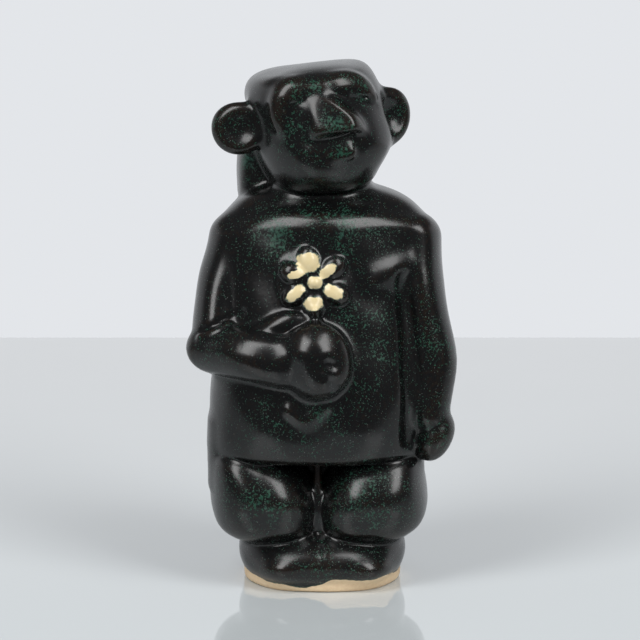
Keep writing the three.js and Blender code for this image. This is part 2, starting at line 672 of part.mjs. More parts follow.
function makeFace() {
  const bridgeHeight = BROW_HEIGHT - BRIDGE_DROP;
  const tipHeight = bridgeHeight - NOSE_LENGTH;
  const mouthHeight = tipHeight - MOUTH_DROP;
  const noseKnots = [
    knot(onFace(NOSE_SIDE, bridgeHeight), NOSE_BRIDGE_RADIUS),
    knot(onFace(NOSE_SIDE, tipHeight, NOSE_REACH), NOSE_TIP_RADIUS, NOSE_TIP_DEPTH),
  ];
  const noseForm = (grow) => roll(noseKnots, { grow, sides: 16, rings: 4 });
  const noseRoom = fromHead(noseForm(SEAM));
  cut(piece('nose', noseForm(0), GLAZE, headGroup), headRoom);

  for (const [name, side] of SIDES) {
    const browKnots = [
      onFace(side * BROW_INNER, BROW_HEIGHT),
      onFace(side * (BROW_INNER + BROW_OUTER) / 2, BROW_HEIGHT + BROW_RISE),
      onFace(side * BROW_OUTER, BROW_HEIGHT - BROW_FALL),
    ].map((at) => knot(at, BROW_RADIUS));
    const browRoom = fromHead(roll(browKnots, { grow: SEAM }));
    cut(piece(`${name}_brow`, roll(browKnots), GLAZE, headGroup), headRoom, noseRoom);
    const lidSizes = [LID_HALF_WIDTH, LID_DEPTH, LID_HALF_HEIGHT];
    const lidPlace = onFace(side * LID_SIDE, BROW_HEIGHT - LID_DROP);
    const lid = ball(lidPlace, lidSizes, { sides: 14, rings: 8 });
    cut(piece(`${name}_eyelid`, lid, GLAZE, headGroup), headRoom, noseRoom, browRoom);
  }

  const lip = (halfWidth, height, smile, radius) => [
    onFace(MOUTH_SIDE - halfWidth, height + smile),
    onFace(MOUTH_SIDE, height),
    onFace(MOUTH_SIDE + halfWidth, height + smile),
  ].map((at) => knot(at, radius));
  const upper = lip(MOUTH_HALF_WIDTH, mouthHeight, MOUTH_SMILE, UPPER_LIP_RADIUS);
  const lower = lip(LOWER_LIP_HALF_WIDTH, mouthHeight - LOWER_LIP_DROP, 0, LOWER_LIP_RADIUS);
  const upperRoom = fromHead(roll(upper, { grow: SEAM }));
  cut(piece('upper_lip', roll(upper), GLAZE, headGroup), headRoom, noseRoom);
  cut(piece('lower_lip', roll(lower), GLAZE, headGroup), headRoom, noseRoom, upperRoom);
}

function makeRightArm() {
  cut(piece('right_upper_arm', upperArmForm(), GLAZE), torsoRoom);
  cut(piece('right_forearm', forearmForm(), GLAZE), torsoRoom, upperArmRoom);
}

// Returns the rooms that the flower leaves for the hand
function makeRightHand() {
  const palm = onTorso(FIST_SIDE, FIST_RISE, FOREARM_STANDOFF);
  const fistForm = (grow) => ball(palm, [FIST_HALF_WIDTH, FIST_HALF_DEPTH, FIST_HALF_HEIGHT], { grow });
  const fistRoom = fistForm(SEAM);
  cut(piece('right_fist', fistForm(0), GLAZE), torsoRoom, forearmRoom);

  const fingerKnots = [0, 1 / 3, 2 / 3, 1].map((share) => {
    const angle = radians(THREE.MathUtils.lerp(FINGER_START, FINGER_END, share));
    const across = (FIST_HALF_WIDTH - FINGER_INSET) * Math.cos(angle);
    const up = (FIST_HALF_HEIGHT - FINGER_INSET) * Math.sin(angle);
    return knot(point(across, -FIST_HALF_DEPTH / 2, up).add(palm), FINGER_RADIUS);
  });
  const fingerRoom = roll(fingerKnots, { grow: SEAM });
  cut(piece('right_finger_roll', roll(fingerKnots), GLAZE), fistRoom, torsoRoom, forearmRoom);

  const tipRise = FIST_RISE + THUMB_TIP_LIFT;
  const thumbKnots = [
    onTorso(-THUMB_ROOT_SIDE, FOREARM_RISE + THUMB_ROOT_LIFT),
    onTorso(-(THUMB_ROOT_SIDE + THUMB_TIP_SIDE) / 2, tipRise - THUMB_RADIUS / 4),
    onTorso(-THUMB_TIP_SIDE, tipRise),
  ].map((at) => knot(at, THUMB_RADIUS));
  const thumbRoom = roll(thumbKnots, { grow: SEAM });
  cut(piece('right_thumb', roll(thumbKnots), GLAZE), torsoRoom, fistRoom, fingerRoom, forearmRoom);
  return [fistRoom, fingerRoom, thumbRoom];
}

function makeLeftArm() {
  cut(piece('left_arm', leftArmForm(), GLAZE), torsoRoom, ...legRooms);
  const palm = ball(point(0, 0, 0), [HAND_HALF_WIDTH, HAND_HALF_DEPTH, HAND_HALF_HEIGHT]);
  const hand = piece('left_hand', palm, GLAZE);
  hand.position.copy(besideTorso(1, HAND_RISE, HAND_OVERHANG, HANGING_WRIST_FORWARD));
  hand.rotation.y = radians(HAND_TURN);
  cut(hand, torsoRoom, leftArmRoom, ...legRooms);
}

function makeFlower(handRooms) {
  const centreSizes = [CENTRE_RADIUS, CENTRE_THICKNESS / 2, CENTRE_RADIUS];
  const centreForm = (grow) => ball(point(0, 0, 0), centreSizes, { grow, sides: 14, rings: 8 });
  const rooms = [...handRooms, fromGroup(flower, centreForm(SEAM))];
  cut(piece('flower_centre', centreForm(0), YELLOW, flower), torsoRoom);

  const petalSizes = [PETAL_LENGTH / 2, PETAL_THICKNESS / 2, PETAL_WIDTH / 2];
  const petalForm = (grow) => ball(point(PETAL_DISTANCE, 0, 0), petalSizes, { grow, rings: 8 });
  for (let i = 0; i < PETAL_COUNT; i += 1) {
    const spoke = new THREE.Group();
    spoke.rotation.y = -radians(PETAL_START + (i / PETAL_COUNT) * 360);
    flower.add(spoke);
    cut(piece(`petal_${i + 1}`, petalForm(0), YELLOW, spoke), torsoRoom, ...rooms);
    rooms.push(fromGroup(spoke, petalForm(SEAM)));
  }

  const stemKnots = [onTorso(FIST_SIDE, fistTop - BITE), onTorso(FLOWER_SIDE, flowerRise - BITE)]
    .map((at) => knot(at, STEM_RADIUS));
  cut(piece('flower_stem', roll(stemKnots, { rings: 3 }), GLAZE), torsoRoom, ...rooms);
}

makeBase();
makeFeetAndLegs();
makeTorso();
makeHeadAndNeck();
makeEar('right', -1, RIGHT_EAR_REACH, RIGHT_EAR_HALF_HEIGHT, RIGHT_EAR_TILT);
makeEar('left', 1, LEFT_EAR_REACH, LEFT_EAR_HALF_HEIGHT, LEFT_EAR_TILT);
makeFace();
makeRightArm();
makeFlower(makeRightHand());
makeLeftArm();

// The origin lies under the middle of the figure's box, on the surface that it stands on
const troll = new THREE.Group();
troll.name = 'troll_figurine';
const box = new THREE.Box3().setFromObject(figure, true);
const middle = box.getCenter(point(0, 0, 0));
figure.position.set(-middle.x, -middle.y, -box.min.z);
troll.add(figure);

export default troll;
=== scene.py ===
"""Looks of a ceramic troll that holds a flower.

The clay is modelled as one soft surface, the union of its forms, and split into the sections of
the frame. Forms are in millimetres in the figure's own frame: +Z up, the face towards -Y, X = 0 near
the middle of the foot. Right and left are the troll's own.
"""
import math
from typing import NamedTuple

import bpy
import numpy as np
import openvdb
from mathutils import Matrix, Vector


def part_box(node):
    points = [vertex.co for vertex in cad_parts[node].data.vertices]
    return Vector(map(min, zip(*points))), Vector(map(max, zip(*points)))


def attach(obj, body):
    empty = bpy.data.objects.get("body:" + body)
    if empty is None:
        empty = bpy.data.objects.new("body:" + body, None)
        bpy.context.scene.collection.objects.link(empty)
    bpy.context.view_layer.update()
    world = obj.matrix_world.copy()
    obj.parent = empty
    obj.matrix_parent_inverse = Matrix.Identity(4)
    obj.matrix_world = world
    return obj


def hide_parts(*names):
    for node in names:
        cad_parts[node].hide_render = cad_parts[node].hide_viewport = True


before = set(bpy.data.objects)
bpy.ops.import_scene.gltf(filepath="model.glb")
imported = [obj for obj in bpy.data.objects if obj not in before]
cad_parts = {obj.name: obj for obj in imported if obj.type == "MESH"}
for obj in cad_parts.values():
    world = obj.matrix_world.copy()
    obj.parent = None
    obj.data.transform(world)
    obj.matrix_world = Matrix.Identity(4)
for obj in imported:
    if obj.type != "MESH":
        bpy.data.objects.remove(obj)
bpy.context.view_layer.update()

MM = 0.001

# Grid and skin
STEP = 0.72  # between two points of the grid
SOFTENING = 0.55  # spread of the blur that glaze gives every edge
BROAD = 2.2  # spread of the blur that tells crests from hollows
BLUR_REACH = 2.5  # how many spreads a blur takes in on each side
MARGIN = 4  # how far past its blend a form is worked out
SKIN = 0.9  # thickness of a section's shell
FAR = 30.0  # distance where no clay is near
LEAST_SLOPE = 0.2  # squared, for moving points onto the surface
LOW_CORNER = (-52, -46, -3)
HIGH_CORNER = (52, 36, 190)

# Small values that keep divisors away from 0
OFF_AXIS = 1e-4
OFF_CENTRE = 1e-5
TINY = 1e-6

# Sides that a furrow or a ridge can lie on
FRONT = -1
BACK = 1

# Soft joins between forms
CREASE = 0.8
SNUG = 1.8
FILLET = 3.5
WIDE = 6.0

# Heights taken from the frame
FOOT_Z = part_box("right_foot")[0].z / MM
LEG_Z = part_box("right_leg")[0].z / MM
HIP_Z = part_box("torso")[0].z / MM
COLLAR_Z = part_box("torso")[1].z / MM
CHIN_Z = COLLAR_Z + 2

# Where the figure's own frame lies in the frame of the part
BASE_FRONT = 25.9
BASE_SIDE = 0.9
base_low, base_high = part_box("base_slab")
base_middle = (base_low.x + base_high.x) / 2
FIGURE_PLACE = np.array([base_middle / MM - BASE_SIDE, base_low.y / MM + BASE_FRONT, 0])

NODES = sorted(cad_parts)


# Frames and forms


def turned(axis, degrees):
    """Rotation about X, Y or Z as a 3 by 3 matrix."""
    angle = math.radians(degrees)
    matrix = np.eye(3)
    first, second = [i for i in range(3) if i != "XYZ".index(axis)]
    sign = -1 if axis == "Y" else 1
    matrix[first, first] = matrix[second, second] = math.cos(angle)
    matrix[second, first] = sign * math.sin(angle)
    matrix[first, second] = -sign * math.sin(angle)
    return matrix


class Frame(NamedTuple):
    """A place and a turn in the figure."""

    place: np.ndarray
    turn: np.ndarray

    def child(self, place, turn=np.eye(3)):
        return Frame(self.place + self.turn @ np.array(place, float), self.turn @ turn)

    def local(self, points):
        return (points - self.place) @ self.turn

    def figure(self, points):
        return np.array(points, float) @ self.turn.T + self.place


FIGURE = Frame(np.zeros(3), np.eye(3))
HEAD_TURN = 11
HEAD_LEAN = 2.4
HEAD = FIGURE.child((-1, -2, CHIN_Z), turned("Z", HEAD_TURN) @ turned("Y", -HEAD_LEAN))


class Form(NamedTuple):
    """A distance in millimetres from a shape's surface, and the box that holds the shape."""

    distance: object
    low: np.ndarray
    high: np.ndarray


def through(stations, where):
    """A smooth curve through stations that begin with their place along it.

    At each station the slope is the mean of the slopes before and after it.
    """
    stations = np.array(stations, float)
    knots = stations[:, 0]
    values = stations[:, 1:]
    secants = np.diff(values, axis=0) / np.diff(knots)[:, None]
    slopes = np.concatenate([secants[:1], (secants[1:] + secants[:-1]) / 2, secants[-1:]])
    where = np.clip(where, knots[0], knots[-1])
    start = np.clip(np.searchsorted(knots, where, side="right") - 1, 0, len(knots) - 2)
    length = np.diff(knots)[start]
    share = (where - knots[start]) / length
    rise = share * share * (3 - 2 * share)
    leave = share * (1 - share) ** 2 * length
    arrive = share * share * (share - 1) * length
    return [
        value[start] * (1 - rise) + value[start + 1] * rise
        + slope[start] * leave + slope[start + 1] * arrive
        for value, slope in zip(values.T, slopes.T)
    ]


def chain_through(knots, pieces):
    """Points on a smooth curve through knots, some pieces from each to the next."""
    places = np.arange(len(knots))
    fine = np.linspace(0, places[-1], pieces * places[-1] + 1)
    return np.stack(through(np.column_stack([places, knots]), fine), axis=1)


def soft_min(first, second, blend):
    """The lesser of two distances, with a soft join where they are close."""
    overlap = np.maximum(blend - np.abs(first - second), 0) / blend
    return np.minimum(first, second) - overlap**3 * (blend / 6)


def level(z, half, front, back, side=0.0, middle=0.0):
    """One oval of a column: half its width, its reach to front and back, and where its middle lies."""
    return (z, half, front, back, side, middle)


def column(levels, power=2.5, edge=4.0):
    """Ovals stacked along Z with rounded edges at both ends."""
    table = np.array(levels, float)
    heights, halves, fronts, backs, sides, middles = table.T
    bottom, top = heights[0], heights[-1]

    def distance(x, y, z):
        half, front, back, side, middle = (value.astype(np.float32) for value in through(table, z))
        reach = np.where(y < middle, front, back)
        across = np.abs((x - side) / half) + OFF_AXIS
        along = np.abs((y - middle) / reach) + OFF_AXIS
        radius = (across**power + along**power) ** (1 / power)
        slope = np.hypot(across ** (power - 1) / half, along ** (power - 1) / reach)
        wall = (radius - 1) / (radius ** (1 - power) * slope) + edge
        cap = np.maximum(bottom - z, z - top) + edge
        rounded = np.hypot(np.maximum(wall, 0), np.maximum(cap, 0))
        return np.minimum(np.maximum(wall, cap), 0) + rounded - edge

    low = np.array([(sides - halves).min(), (middles - fronts).min(), bottom])
    high = np.array([(sides + halves).max(), (middles + backs).max(), top])
    return Form(distance, low, high)


def front_of(levels, x, z, power=2.5):
    """Where a column's front lies at a place across and a height."""
    half, front, _, side, middle = (float(value) for value in through(levels, np.float64(z)))
    share = min(abs(x - side) / half, 1)
    return middle - front * (1 - share**power) ** (1 / power)


def knot(place, radius, depth=None):
    """One point of a roll: its radius in the front view and its depth towards the viewer."""
    return (*place, radius, radius if depth is None else depth)


def egg(offsets, reaches):
    """Distance from an egg, given the way from its middle and its reach along each axis."""
    pairs = list(zip(offsets, reaches))
    scaled = np.sqrt(sum((offset / reach) ** 2 for offset, reach in pairs)) + OFF_CENTRE
    steep = np.sqrt(sum((offset / reach**2) ** 2 for offset, reach in pairs))
    return scaled * (scaled - 1) / (steep + TINY)


def roll(knots, pieces=6):
    """A clay sausage with round ends along a smooth curve through the knots."""
    chain = chain_through(knots, pieces)

    def distance(x, y, z):
        nearest = np.float32(FAR)
        for start, end in zip(chain[:-1], chain[1:]):
            along = end[:3] - start[:3]
            length = np.linalg.norm(along)
            along = along / length
            across = np.cross(along, (0, -1, 0))
            across = across / max(np.linalg.norm(across), TINY)
            out = np.cross(across, along)
            offsets = [axis - np.float32(value) for axis, value in zip((x, y, z), start)]
            pace, aside, toward = (
                sum(offset * np.float32(part) for offset, part in zip(offsets, axis))
                for axis in (along, across, out)
            )
            share = np.clip(pace / length, 0, 1)
            radius = start[3] + (end[3] - start[3]) * share
            depth = start[4] + (end[4] - start[4]) * share
            past = pace - share * length
            away = egg((aside, toward, past), (radius, depth, np.minimum(radius, depth)))
            nearest = np.minimum(nearest, away)
        return nearest

    size = chain[:, 3:].max()
    return Form(distance, chain[:, :3].min(axis=0) - size, chain[:, :3].max(axis=0) + size)


def ball(place, halves):
    """An egg by its half width, depth and height."""
    place = np.array(place, float)
    halves = np.array(halves, float)

    def distance(x, y, z):
        return egg([axis - np.float32(value) for axis, value in zip((x, y, z), place)], halves)

    return Form(distance, place - halves, place + halves)


def beyond(place, normal, reach, bend=0.0):
    """Everything past a plane, or past a dome that bends away from it, as far as a reach."""
    place = np.array(place, float)
    normal = np.array(normal, float) / np.linalg.norm(normal)

    def distance(x, y, z):
        offsets = [axis - value for axis, value in zip((x, y, z), place)]
        above = sum(offset * part for offset, part in zip(offsets, normal))
        return -above - bend * (sum(offset**2 for offset in offsets) - above**2)

    return Form(distance, place - reach, place + reach)


def both(first, second, blend):
    """What two forms share, with a soft edge where they meet."""

    def distance(x, y, z):
        return -soft_min(-first.distance(x, y, z), -second.distance(x, y, z), blend)

    return Form(distance, np.maximum(first.low, second.low), np.minimum(first.high, second.high))


def inward(line, pieces=4):
    """How far a place lies to the right of a line that is given across and up."""
    chain = chain_through(line, pieces).astype(np.float32)

    def distance(x, z):
        nearest = np.full(np.broadcast(x, z).shape, FAR, np.float32)
        result = nearest.copy()
        for start, end in zip(chain[:-1], chain[1:]):
            along = end - start
            length = np.hypot(*along)
            across, up = x - start[0], z - start[1]
            share = np.clip((across * along[0] + up * along[1]) / length**2, 0, 1)
            away = np.hypot(across - share * along[0], up - share * along[1])
            side = np.sign(across * along[1] - up * along[0])
            result = np.where(away < nearest, side * away, result)
            nearest = np.minimum(nearest, away)
        return result

    return distance


def eased(value, low, high):
    """0 below low and 1 above high, smooth between."""
    share = np.clip((value - low) / (high - low), 0, 1)
    return share * share * (3 - 2 * share)


# The clay


def blurred(values, spread):
    """A Gaussian blur along each axis in turn."""
    reach = int(math.ceil(BLUR_REACH * spread))
    weights = np.exp(-0.5 * (np.arange(-reach, reach + 1) / spread) ** 2)
    weights = (weights / weights.sum()).astype(np.float32)
    for axis in range(3):
        padding = [(reach, reach) if i == axis else (0, 0) for i in range(3)]
        padded = np.pad(values, padding, mode="edge")
        size = values.shape[axis]
        values = sum(
            weight * np.take(padded, range(shift, shift + size), axis=axis)
            for shift, weight in enumerate(weights)
        )
    return values


class Clay:
    """Distances to the union of the forms on a grid, and the section that each place belongs to."""

    def __init__(self):
        self.axes = [
            np.arange(low, high + STEP, STEP, dtype=np.float32)
            for low, high in zip(LOW_CORNER, HIGH_CORNER)
        ]
        shape = [len(axis) for axis in self.axes]
        self.distance = np.full(shape, FAR, np.float32)
        self.nearest = np.full(shape, FAR, np.float32)
        self.owner = np.zeros(shape, np.uint8)

    def window(self, form, place, margin):
        """The part of the grid around a form, and its points in the form's own frame."""
        corners = place.figure([
            [(form.low, form.high)[(corner >> axis) & 1][axis] for axis in range(3)]
            for corner in range(8)
        ])
        low, high = corners.min(axis=0) - margin, corners.max(axis=0) + margin
        part = tuple(
            slice(int(np.searchsorted(axis, a)), int(np.searchsorted(axis, b)))
            for axis, a, b in zip(self.axes, low, high)
        )
        starts = zip(self.axes, part, place.place)
        lines = [axis[span] - np.float32(start) for axis, span, start in starts]
        offsets = np.meshgrid(*lines, indexing="ij", sparse=True)
        if np.allclose(place.turn, np.eye(3)):
            return part, offsets
        turn = place.turn.astype(np.float32)
        return part, [sum(offset * turn[i, k] for i, offset in enumerate(offsets)) for k in range(3)]

    def add(self, nodes, form, blend=SNUG, place=FIGURE):
        """Joins a form to the clay. Of two nodes, the first has the troll's right side."""
        part, points = self.window(form, place, blend + MARGIN)
        values = form.distance(*points).astype(np.float32)
        values = np.broadcast_to(values, self.distance[part].shape)
        self.distance[part] = soft_min(self.distance[part], values, blend)
        closer = values < self.nearest[part]
        if isinstance(nodes, str):
            index = np.uint8(NODES.index(nodes))
        else:
            right, left = (np.uint8(NODES.index(node)) for node in nodes)
            index = np.where(self.axes[0][part[0]] < 0, right, left)[:, None, None]
        self.owner[part] = np.where(closer, index, self.owner[part])
        self.nearest[part] = np.minimum(self.nearest[part], values)

    def on(self, x, z, out=0.0, side=FRONT):
        """A place on the front of the clay as it stands, or on its back, sunk or raised by out."""
        i, k = (int(round((value - self.axes[axis][0]) / STEP)) for axis, value in ((0, x), (2, z)))
        line = self.distance[i, :, k][:: -side]
        first = int(np.argmax(line < 0))
        share = first - line[first] / (line[first] - line[first - 1])
        y = self.axes[1][0] + STEP * (share if side < 0 else len(line) - 1 - share)
        return (x, float(y) + side * out, z)

    def ridge(self, nodes, points, radius, out=0.0, blend=SNUG, side=FRONT):
        """A thin roll of clay along the surface through points given across and up."""
        self.add(nodes, roll([knot(self.on(x, z, out, side), radius) for x, z in points]), blend)

    def groove(self, points, radius, out=0.0, blend=SNUG, side=FRONT):
        """A furrow along the surface through points given across and up."""
        self.carve(roll([knot(self.on(x, z, out, side), radius) for x, z in points]), blend)

    def press(self, low, high, depth, place=FIGURE):
        """Pushes the surface in, inside a box, by a depth that is given across and up."""
        part, (x, _, z) = self.window(Form(depth, np.array(low), np.array(high)), place, 0)
        push = depth(x, z)
        self.distance[part] += push
        self.nearest[part] += push

    def carve(self, form, blend=SNUG, place=FIGURE):
        """Cuts a form out of the clay."""
        part, points = self.window(form, place, blend + MARGIN)
        values = form.distance(*points).astype(np.float32)
        self.distance[part] = -soft_min(-self.distance[part], values, blend)


def sampled(values, points):
    """Values of a grid at points given in grid steps, straight between the grid's points."""
    base = np.clip(np.floor(points).astype(int), 0, np.array(values.shape[:3]) - 2)
    share = (points - base).astype(np.float32)
    total = 0
    for corner in range(8):
        bits = [(corner >> axis) & 1 for axis in range(3)]
        shares = [share[:, i] if bit else 1 - share[:, i] for i, bit in enumerate(bits)]
        weight = np.prod(shares, axis=0)
        found = values[base[:, 0] + bits[0], base[:, 1] + bits[1], base[:, 2] + bits[2]]
        total = total + found * weight.reshape([-1] + [1] * (found.ndim - 1))
    return total


# Base, feet and legs


def shape_base(clay):
    slab = [level(0, 28.0, 26.4, 23.4, BASE_SIDE), level(FOOT_Z + 3, 28.2, 26.0, 23.4, BASE_SIDE)]
    clay.add("base_slab", column(slab, power=2.15, edge=1.4))


def shape_feet(clay):
    toes = [
        level(FOOT_Z - 1.6, 27.0, 26.2, 23.2, 0.9),
        level(FOOT_Z + 1.6, 28.8, 28.4, 24.6, 0.8),
        level(FOOT_Z + 5.2, 29.8, 29.4, 25.0, 0.7),
        level(FOOT_Z + 9.4, 29.6, 27.6, 24.6, 0.6),
        level(FOOT_Z + 12.2, 28.6, 24.8, 23.5, 0.5),
        level(FOOT_Z + 15.0, 25.0, 21.5, 22.0),
    ]
    feet = ("right_foot", "left_foot")
    clay.add(feet, column(toes, power=2.25, edge=2.6), CREASE)
    for x in (-12, 15.5):
        clay.add(feet, ball((x, -17.6, FOOT_Z + 3.8), (9.5, 12.0, 5.6)), WIDE)
    clay.groove([(1.6, 4.6), (1.2, 8), (0.6, 13), (0.4, 17)], 0.8, 0.5, CREASE)


# The thighs lean back above a line that rises towards the hips
THIGH_MIDDLE = 19  # how far a thigh's middle is from the figure's
LEAN_START = LEG_Z + 14.5  # the line's height there
LEAN_RISE = 0.22  # the line's slope
LEAN_GROWTH = 0.03
LEAN_HEIGHT = 14  # over which the lean grows
THIGH_INSIDE = 20  # full lean as far as here
THIGH_OUTSIDE = 39  # none here


def thigh_slope(x, z):
    """How far the fronts of the thighs are pushed back."""
    away = np.abs(x)
    above = np.maximum(z - LEAN_START - LEAN_RISE * (away - THIGH_MIDDLE), 0)
    rounding = np.minimum(above, LEAN_HEIGHT)
    fade = eased(away, THIGH_OUTSIDE, THIGH_INSIDE)
    return LEAN_GROWTH * rounding * (2 * above - rounding) * fade


def shape_legs(clay):
    """Two columns, each with its own outer side, and a roll of clay in the seam."""
    heights = [LEG_Z + rise for rise in (-1.6, 2, 5.5, 12, 18, 24, 30, 36)]
    fronts = [21.6, 25.0, 27.4, 29.8, 30.4, 30.4, 30.2, 30.0]
    backs = [21.5, 23.0, 24.4, 26.5, 27.3, 27.5, 27.5, 27.5]
    right_reach = [31.0, 35.0, 37.0, 38.8, 39.3, 39.4, 39.2, 38.8]
    left_reach = [30.4, 34.0, 36.6, 38.3, 38.2, 37.4, 36.7, 36.2]
    legs = [("right_leg", right_reach, 0.4, -1), ("left_leg", left_reach, 2.0, 1)]
    for name, reaches, inner, sign in legs:
        halves = [(reach + inner) / 2 for reach in reaches]
        sides = [sign * (reach - inner) / 2 for reach in reaches]
        levels = [level(*sizes) for sizes in zip(heights, halves, fronts, backs, sides)]
        clay.add(name, column(levels, power=2.6, edge=8.0), CREASE)
    clay.press((-39, -40, LEG_Z + 6), (39, -4, LEG_Z + 40), thigh_slope)
    seam = [knot((0.4, -17.6, 15), 1.6), knot((-0.6, -17.8, 27), 1.6), knot((-1.0, -16.0, 45), 1.8)]
    clay.add(("right_leg", "left_leg"), roll(seam), FILLET)


# Torso and neck

TORSO = [
    level(HIP_Z - 0.3, 38.2, 30.4, 27.0, -1.6),
    level(HIP_Z + 8, 39.0, 33.2, 28.0, -0.9),
    level(HIP_Z + 22, 39.4, 34.0, 28.5, 0.4),
    level(HIP_Z + 66, 35.5, 28.0, 27.0, 0),
    level(HIP_Z + 82, 36.5, 24.5, 24.5, 1.6),
    level(HIP_Z + 89.5, 31.5, 20.0, 20.5, 1.2),
    level(COLLAR_Z, 23.0, 16.5, 16.5, 0.6),
]


def on_torso(x, rise, out=0.0):
    """A point on the front of the torso, at a height above the hip."""
    z = HIP_Z + rise
    return (x, front_of(TORSO, x, z) - out, z)


def shape_torso(clay):
    """The body with its shoulder yoke, hips, seat and the muscle of the left chest."""
    clay.add("torso", column(TORSO), CREASE)
    yoke = column([
        level(HIP_Z + 56, 46, 26.4, 24, 1),
        level(HIP_Z + 70, 50, 27.8, 24, 1.5),
        level(HIP_Z + 90.2, 50, 28.0, 22, 1.8),
    ], power=1.5, edge=7.0)
    trim = [level(HIP_Z + rise, 36.2, 40, 40, 2.2) for rise in (50, 95)]
    yoke = both(yoke, column(trim, power=8, edge=1), blend=8.0)
    for x, rise, slant in ((-24, 86.6, 0.62), (28, 88.2, -0.36)):
        yoke = both(yoke, beyond((x, 0, HIP_Z + rise), (slant, 0, -1), 70), blend=6.0)
    clay.add("torso", yoke, FILLET)
    for x in (-34.5, 31.5):
        hip = [knot((x, -6, HIP_Z - 10), 5.6, 11), knot((x, -6, HIP_Z + 12), 5.6, 11)]
        clay.add("torso", roll(hip), SNUG)
    seat = [level(HIP_Z - 12, 37.5, 4, 27.0, -1.4), level(HIP_Z + 14, 38.5, 4, 28.2, -1.0)]
    clay.add("torso", column(seat, edge=5.0), SNUG)
    pectoral = [on_torso(17, 66, -4.4), on_torso(26, 69, -4.0), on_torso(34, 73, -2.8)]
    clay.add("torso", roll([knot(place, 5.0) for place in pectoral]), WIDE)


def shape_neck(clay):
    neck = [level(z, 17.5, 17, 15, 0.5) for z in (COLLAR_Z - 6, CHIN_Z + 6)]
    clay.add("neck", column(neck), WIDE)


# Head, hair and ears

HEAD_POWER = 2.25
HEAD_LEVELS = [
    level(-2.0, 14.0, 19.0, 13.0, 1.0),
    level(1.5, 17.8, 23.6, 15.5, 1.6),
    level(5.0, 19.9, 26.6, 18.0, 1.7),
    level(9.0, 22.0, 28.8, 20.5, 2.1),
    level(14.5, 24.0, 30.0, 23.0, 2.5),
    level(20.0, 24.1, 29.9, 24.5, 2.2),
    level(25.5, 23.7, 29.3, 25.5, 1.2),
    level(31.5, 24.0, 28.1, 26.0, -0.4),
    level(37.0, 23.2, 26.4, 26.0, -1.0),
    level(45.0, 21.4, 23.2, 25.0, -1.0),
]


def on_face(x, z, out=0.0):
    """A point on the face, in the head's frame."""
    return (x, front_of(HEAD_LEVELS, x, z, HEAD_POWER) - out, z)


def shape_head(clay):
    clay.add("head", column(HEAD_LEVELS, power=HEAD_POWER, edge=3.0), SNUG, HEAD)


def shape_hair(clay):
    mane = [
        level(-9, 21.6, 12, 11, -4.4, 15),
        level(4, 21.2, 12, 13.4, -4.2, 15),
        level(18, 20.0, 12, 13.8, -3.4, 15),
        level(38, 15, 12, 11, 0, 15),
    ]
    clay.add("hair_mane", column(mane, power=3, edge=5.0), FILLET, HEAD)


# Planes that cut the crown: place, way out, reach, bend and softness of the edge
CROWN_CUTS = [
    ((0, 0, 42.4), (-0.05, 0.085, 1), 60, 0.0032, 6.0),
    ((-20.8, 2, 40.4), (-0.55, 0, 0.83), 16, 0.0, 10.0),
    ((20.0, -4, 41.2), (0.62, -0.25, 0.75), 14, 0.0, 8.0),
    ((0, -22.0, 43.4), (0, -0.45, 0.89), 26, 0.0, 9.0),
]


def shape_crown(clay):
    for place, normal, reach, bend, soft in CROWN_CUTS:
        clay.carve(beyond(place, normal, reach, bend), soft, HEAD)


RIGHT_EAR = HEAD.child((-28.4, -6.4, 21.8), turned("Z", -20) @ turned("Y", -12))
LEFT_EAR = HEAD.child((25.8, -4.0, 22.2), turned("Z", 20) @ turned("Y", 8))
CUP_SHARES = (0.74, 0.80, 0.68)  # the cup's size as shares of the ear's


def shape_ears(clay):
    """Eggs with a cup cut into the front, close to the head."""
    ears = [("right_ear", -1, RIGHT_EAR, (9.6, 5.0, 9.4)), ("left_ear", 1, LEFT_EAR, (8.6, 5.0, 10.2))]
    for name, side, root, halves in ears:
        clay.add(name, ball((0, 0, 0), halves), WIDE, root)
        cup = [half * share for half, share in zip(halves, CUP_SHARES)]
        clay.carve(ball((-side * 1.2, -halves[1] * 1.1, 0.2), cup), FILLET, root)


# Brows from the troll's right to its left: place across and up, radius, how far out
RIGHT_BROW = [
    (-14.6, 23.5, 3.0, 0.6),
    (-15.4, 27.5, 4.2, 1.9),
    (-14.8, 33.0, 4.4, 1.2),
    (-11.4, 36.0, 4.2, 0.7),
    (-7.0, 36.4, 3.2, 0.3),
    (-3.0, 36.0, 2.4, 0.2),
]
LEFT_BROW = [
    (-0.6, 36.6, 3.4, 0.6),
    (4.6, 36.8, 4.2, 0.9),
    (10.0, 36.4, 4.2, 0.8),
    (14.0, 34.8, 3.0, 0.4),
    (16.4, 31.8, 2.0, 0.2),
]

# The hollows below the brows, in the head's frame
HOLLOW_BOX = ((-19, -34, 23), (20, -8, 42))
HOLLOW_DEPTH = 0.9
HOLLOW_EDGE = 3.5  # from a brow to the deepest place
HOLLOW_FADE = 6  # from a brow to where little is left
HOLLOW_FOOT = 24  # none below this height
HOLLOW_TOP = 31  # full above this height


def eye_hollow(brow):
    """The depth of a hollow that lies below a brow and fades towards the cheek."""
    inside = inward([place[:2] for place in brow])

    def depth(x, z):
        distance = inside(x, z)
        fade = np.exp(-((distance / HOLLOW_FADE) ** 2)) * eased(z, HOLLOW_FOOT, HOLLOW_TOP)
        deep = HOLLOW_DEPTH * eased(distance, 0, HOLLOW_EDGE) * fade
        return np.where(distance > 0, deep, 0).astype(np.float32)

    return depth


